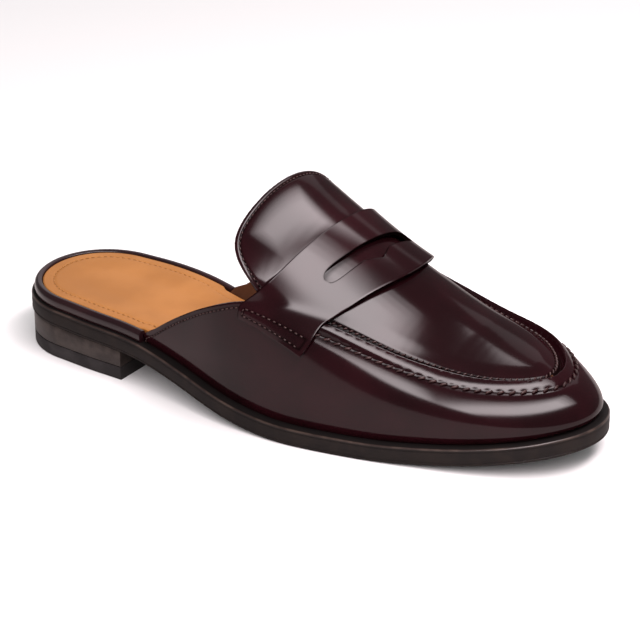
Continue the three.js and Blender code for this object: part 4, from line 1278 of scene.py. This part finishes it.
def soft_box(name, at, toward, size, brightness, turned=0.0):
    """An area light at a place, facing a point. size is its length along the world's y and its width
    in metres, and its power is brightness times area times pi."""
    data = bpy.data.lights.new(name, "AREA")
    data.shape, data.size, data.size_y = "RECTANGLE", size[1], size[0]
    data.energy = brightness * size[0] * size[1] * math.pi
    data.color = LIGHT_TINT
    facing = (Vector(at) - Vector(toward)).normalized()
    along = Vector((math.sin(turned), math.cos(turned), 0))
    along = (along - facing * along.dot(facing)).normalized()
    axes = Matrix([along.cross(facing), along, facing]).transposed().to_4x4()
    placed(name, data).matrix_world = Matrix.Translation(at) @ axes


def soft_edged_box(name, at, size, brightness, fading, turned=0.0):
    """Four boxes one below the other, facing down and each narrower than the last, so that a
    reflection fades at its edges. fading is the share of the size by which the widest and the
    narrowest differ from the middle."""
    for k, share in enumerate(np.linspace(1 + fading, 1 - fading, 4)):
        place, below = (at[0], at[1], at[2] - 0.003 * k), (at[0], at[1], 0)
        soft_box(f"{name} {k + 1}", place, below, (size[0] * (0.6 + 0.4 * share), size[1] * share),
                 brightness / 4, turned)


soft_edged_box("long box over the toe", (0.75, -1.62, 1.4), (4.1, 0.44), 16.5, 0.3, turned=0.03)
soft_edged_box("small box over the tongue", (0.056, 0.060, 0.305), (0.27, 0.058), 13.5, 0.5)
soft_box("far side", (-0.7, 1.3, 0.9), (0, 0, 0.03), (1.2, 1.4), 0.5)

world = bpy.data.worlds.new("dim room")
bpy.context.scene.world = world
world.use_nodes = True
room = world.node_tree.nodes["Background"]
room.inputs["Color"].default_value = (1, 1, 1, 1)
ray = node(world.node_tree, "ShaderNodeLightPath", (-600, 0))
mirrored = maths(world.node_tree, "MULTIPLY", ray.outputs["Is Glossy Ray"], ROOM_MIRRORED_CHANGE,
                 (-400, 0))
strength = maths(world.node_tree, "ADD", mirrored, ROOM_LIGHT, (-200, 0))
world.node_tree.links.new(strength, room.inputs["Strength"])
bpy.context.scene.view_settings.view_transform = "Standard"

floor_mesh = bpy.data.meshes.new("floor")
corners = [(-FLOOR_HALF, -FLOOR_HALF, 0), (FLOOR_HALF, -FLOOR_HALF, 0), (FLOOR_HALF, FLOOR_HALF, 0),
           (-FLOOR_HALF, FLOOR_HALF, 0)]
floor_mesh.from_pydata(corners, [], [(0, 1, 2, 3)])
floor = placed("floor", floor_mesh)
floor_finish = bpy.data.materials.new("white floor")
floor_finish.use_nodes = True
floor_shader = floor_finish.node_tree.nodes["Principled BSDF"]
# In reflections the floor is painted darker and a little warmer than the camera sees it, standing in for
# the shade on the floor round the shoe.
seen = node(floor_finish.node_tree, "ShaderNodeMix", (-300, 0), data_type="RGBA")
seen.inputs["A"].default_value = FLOOR_SEEN
seen.inputs["B"].default_value = FLOOR_SHADED_IN_REFLECTIONS
path = node(floor_finish.node_tree, "ShaderNodeLightPath", (-600, 0))
floor_finish.node_tree.links.new(path.outputs["Is Glossy Ray"], seen.inputs["Factor"])
floor_finish.node_tree.links.new(seen.outputs["Result"], floor_shader.inputs["Base Color"])
floor_shader.inputs["Roughness"].default_value = 0.8
floor_shader.inputs["Specular IOR Level"].default_value = 0.1
floor_mesh.materials.append(floor_finish)
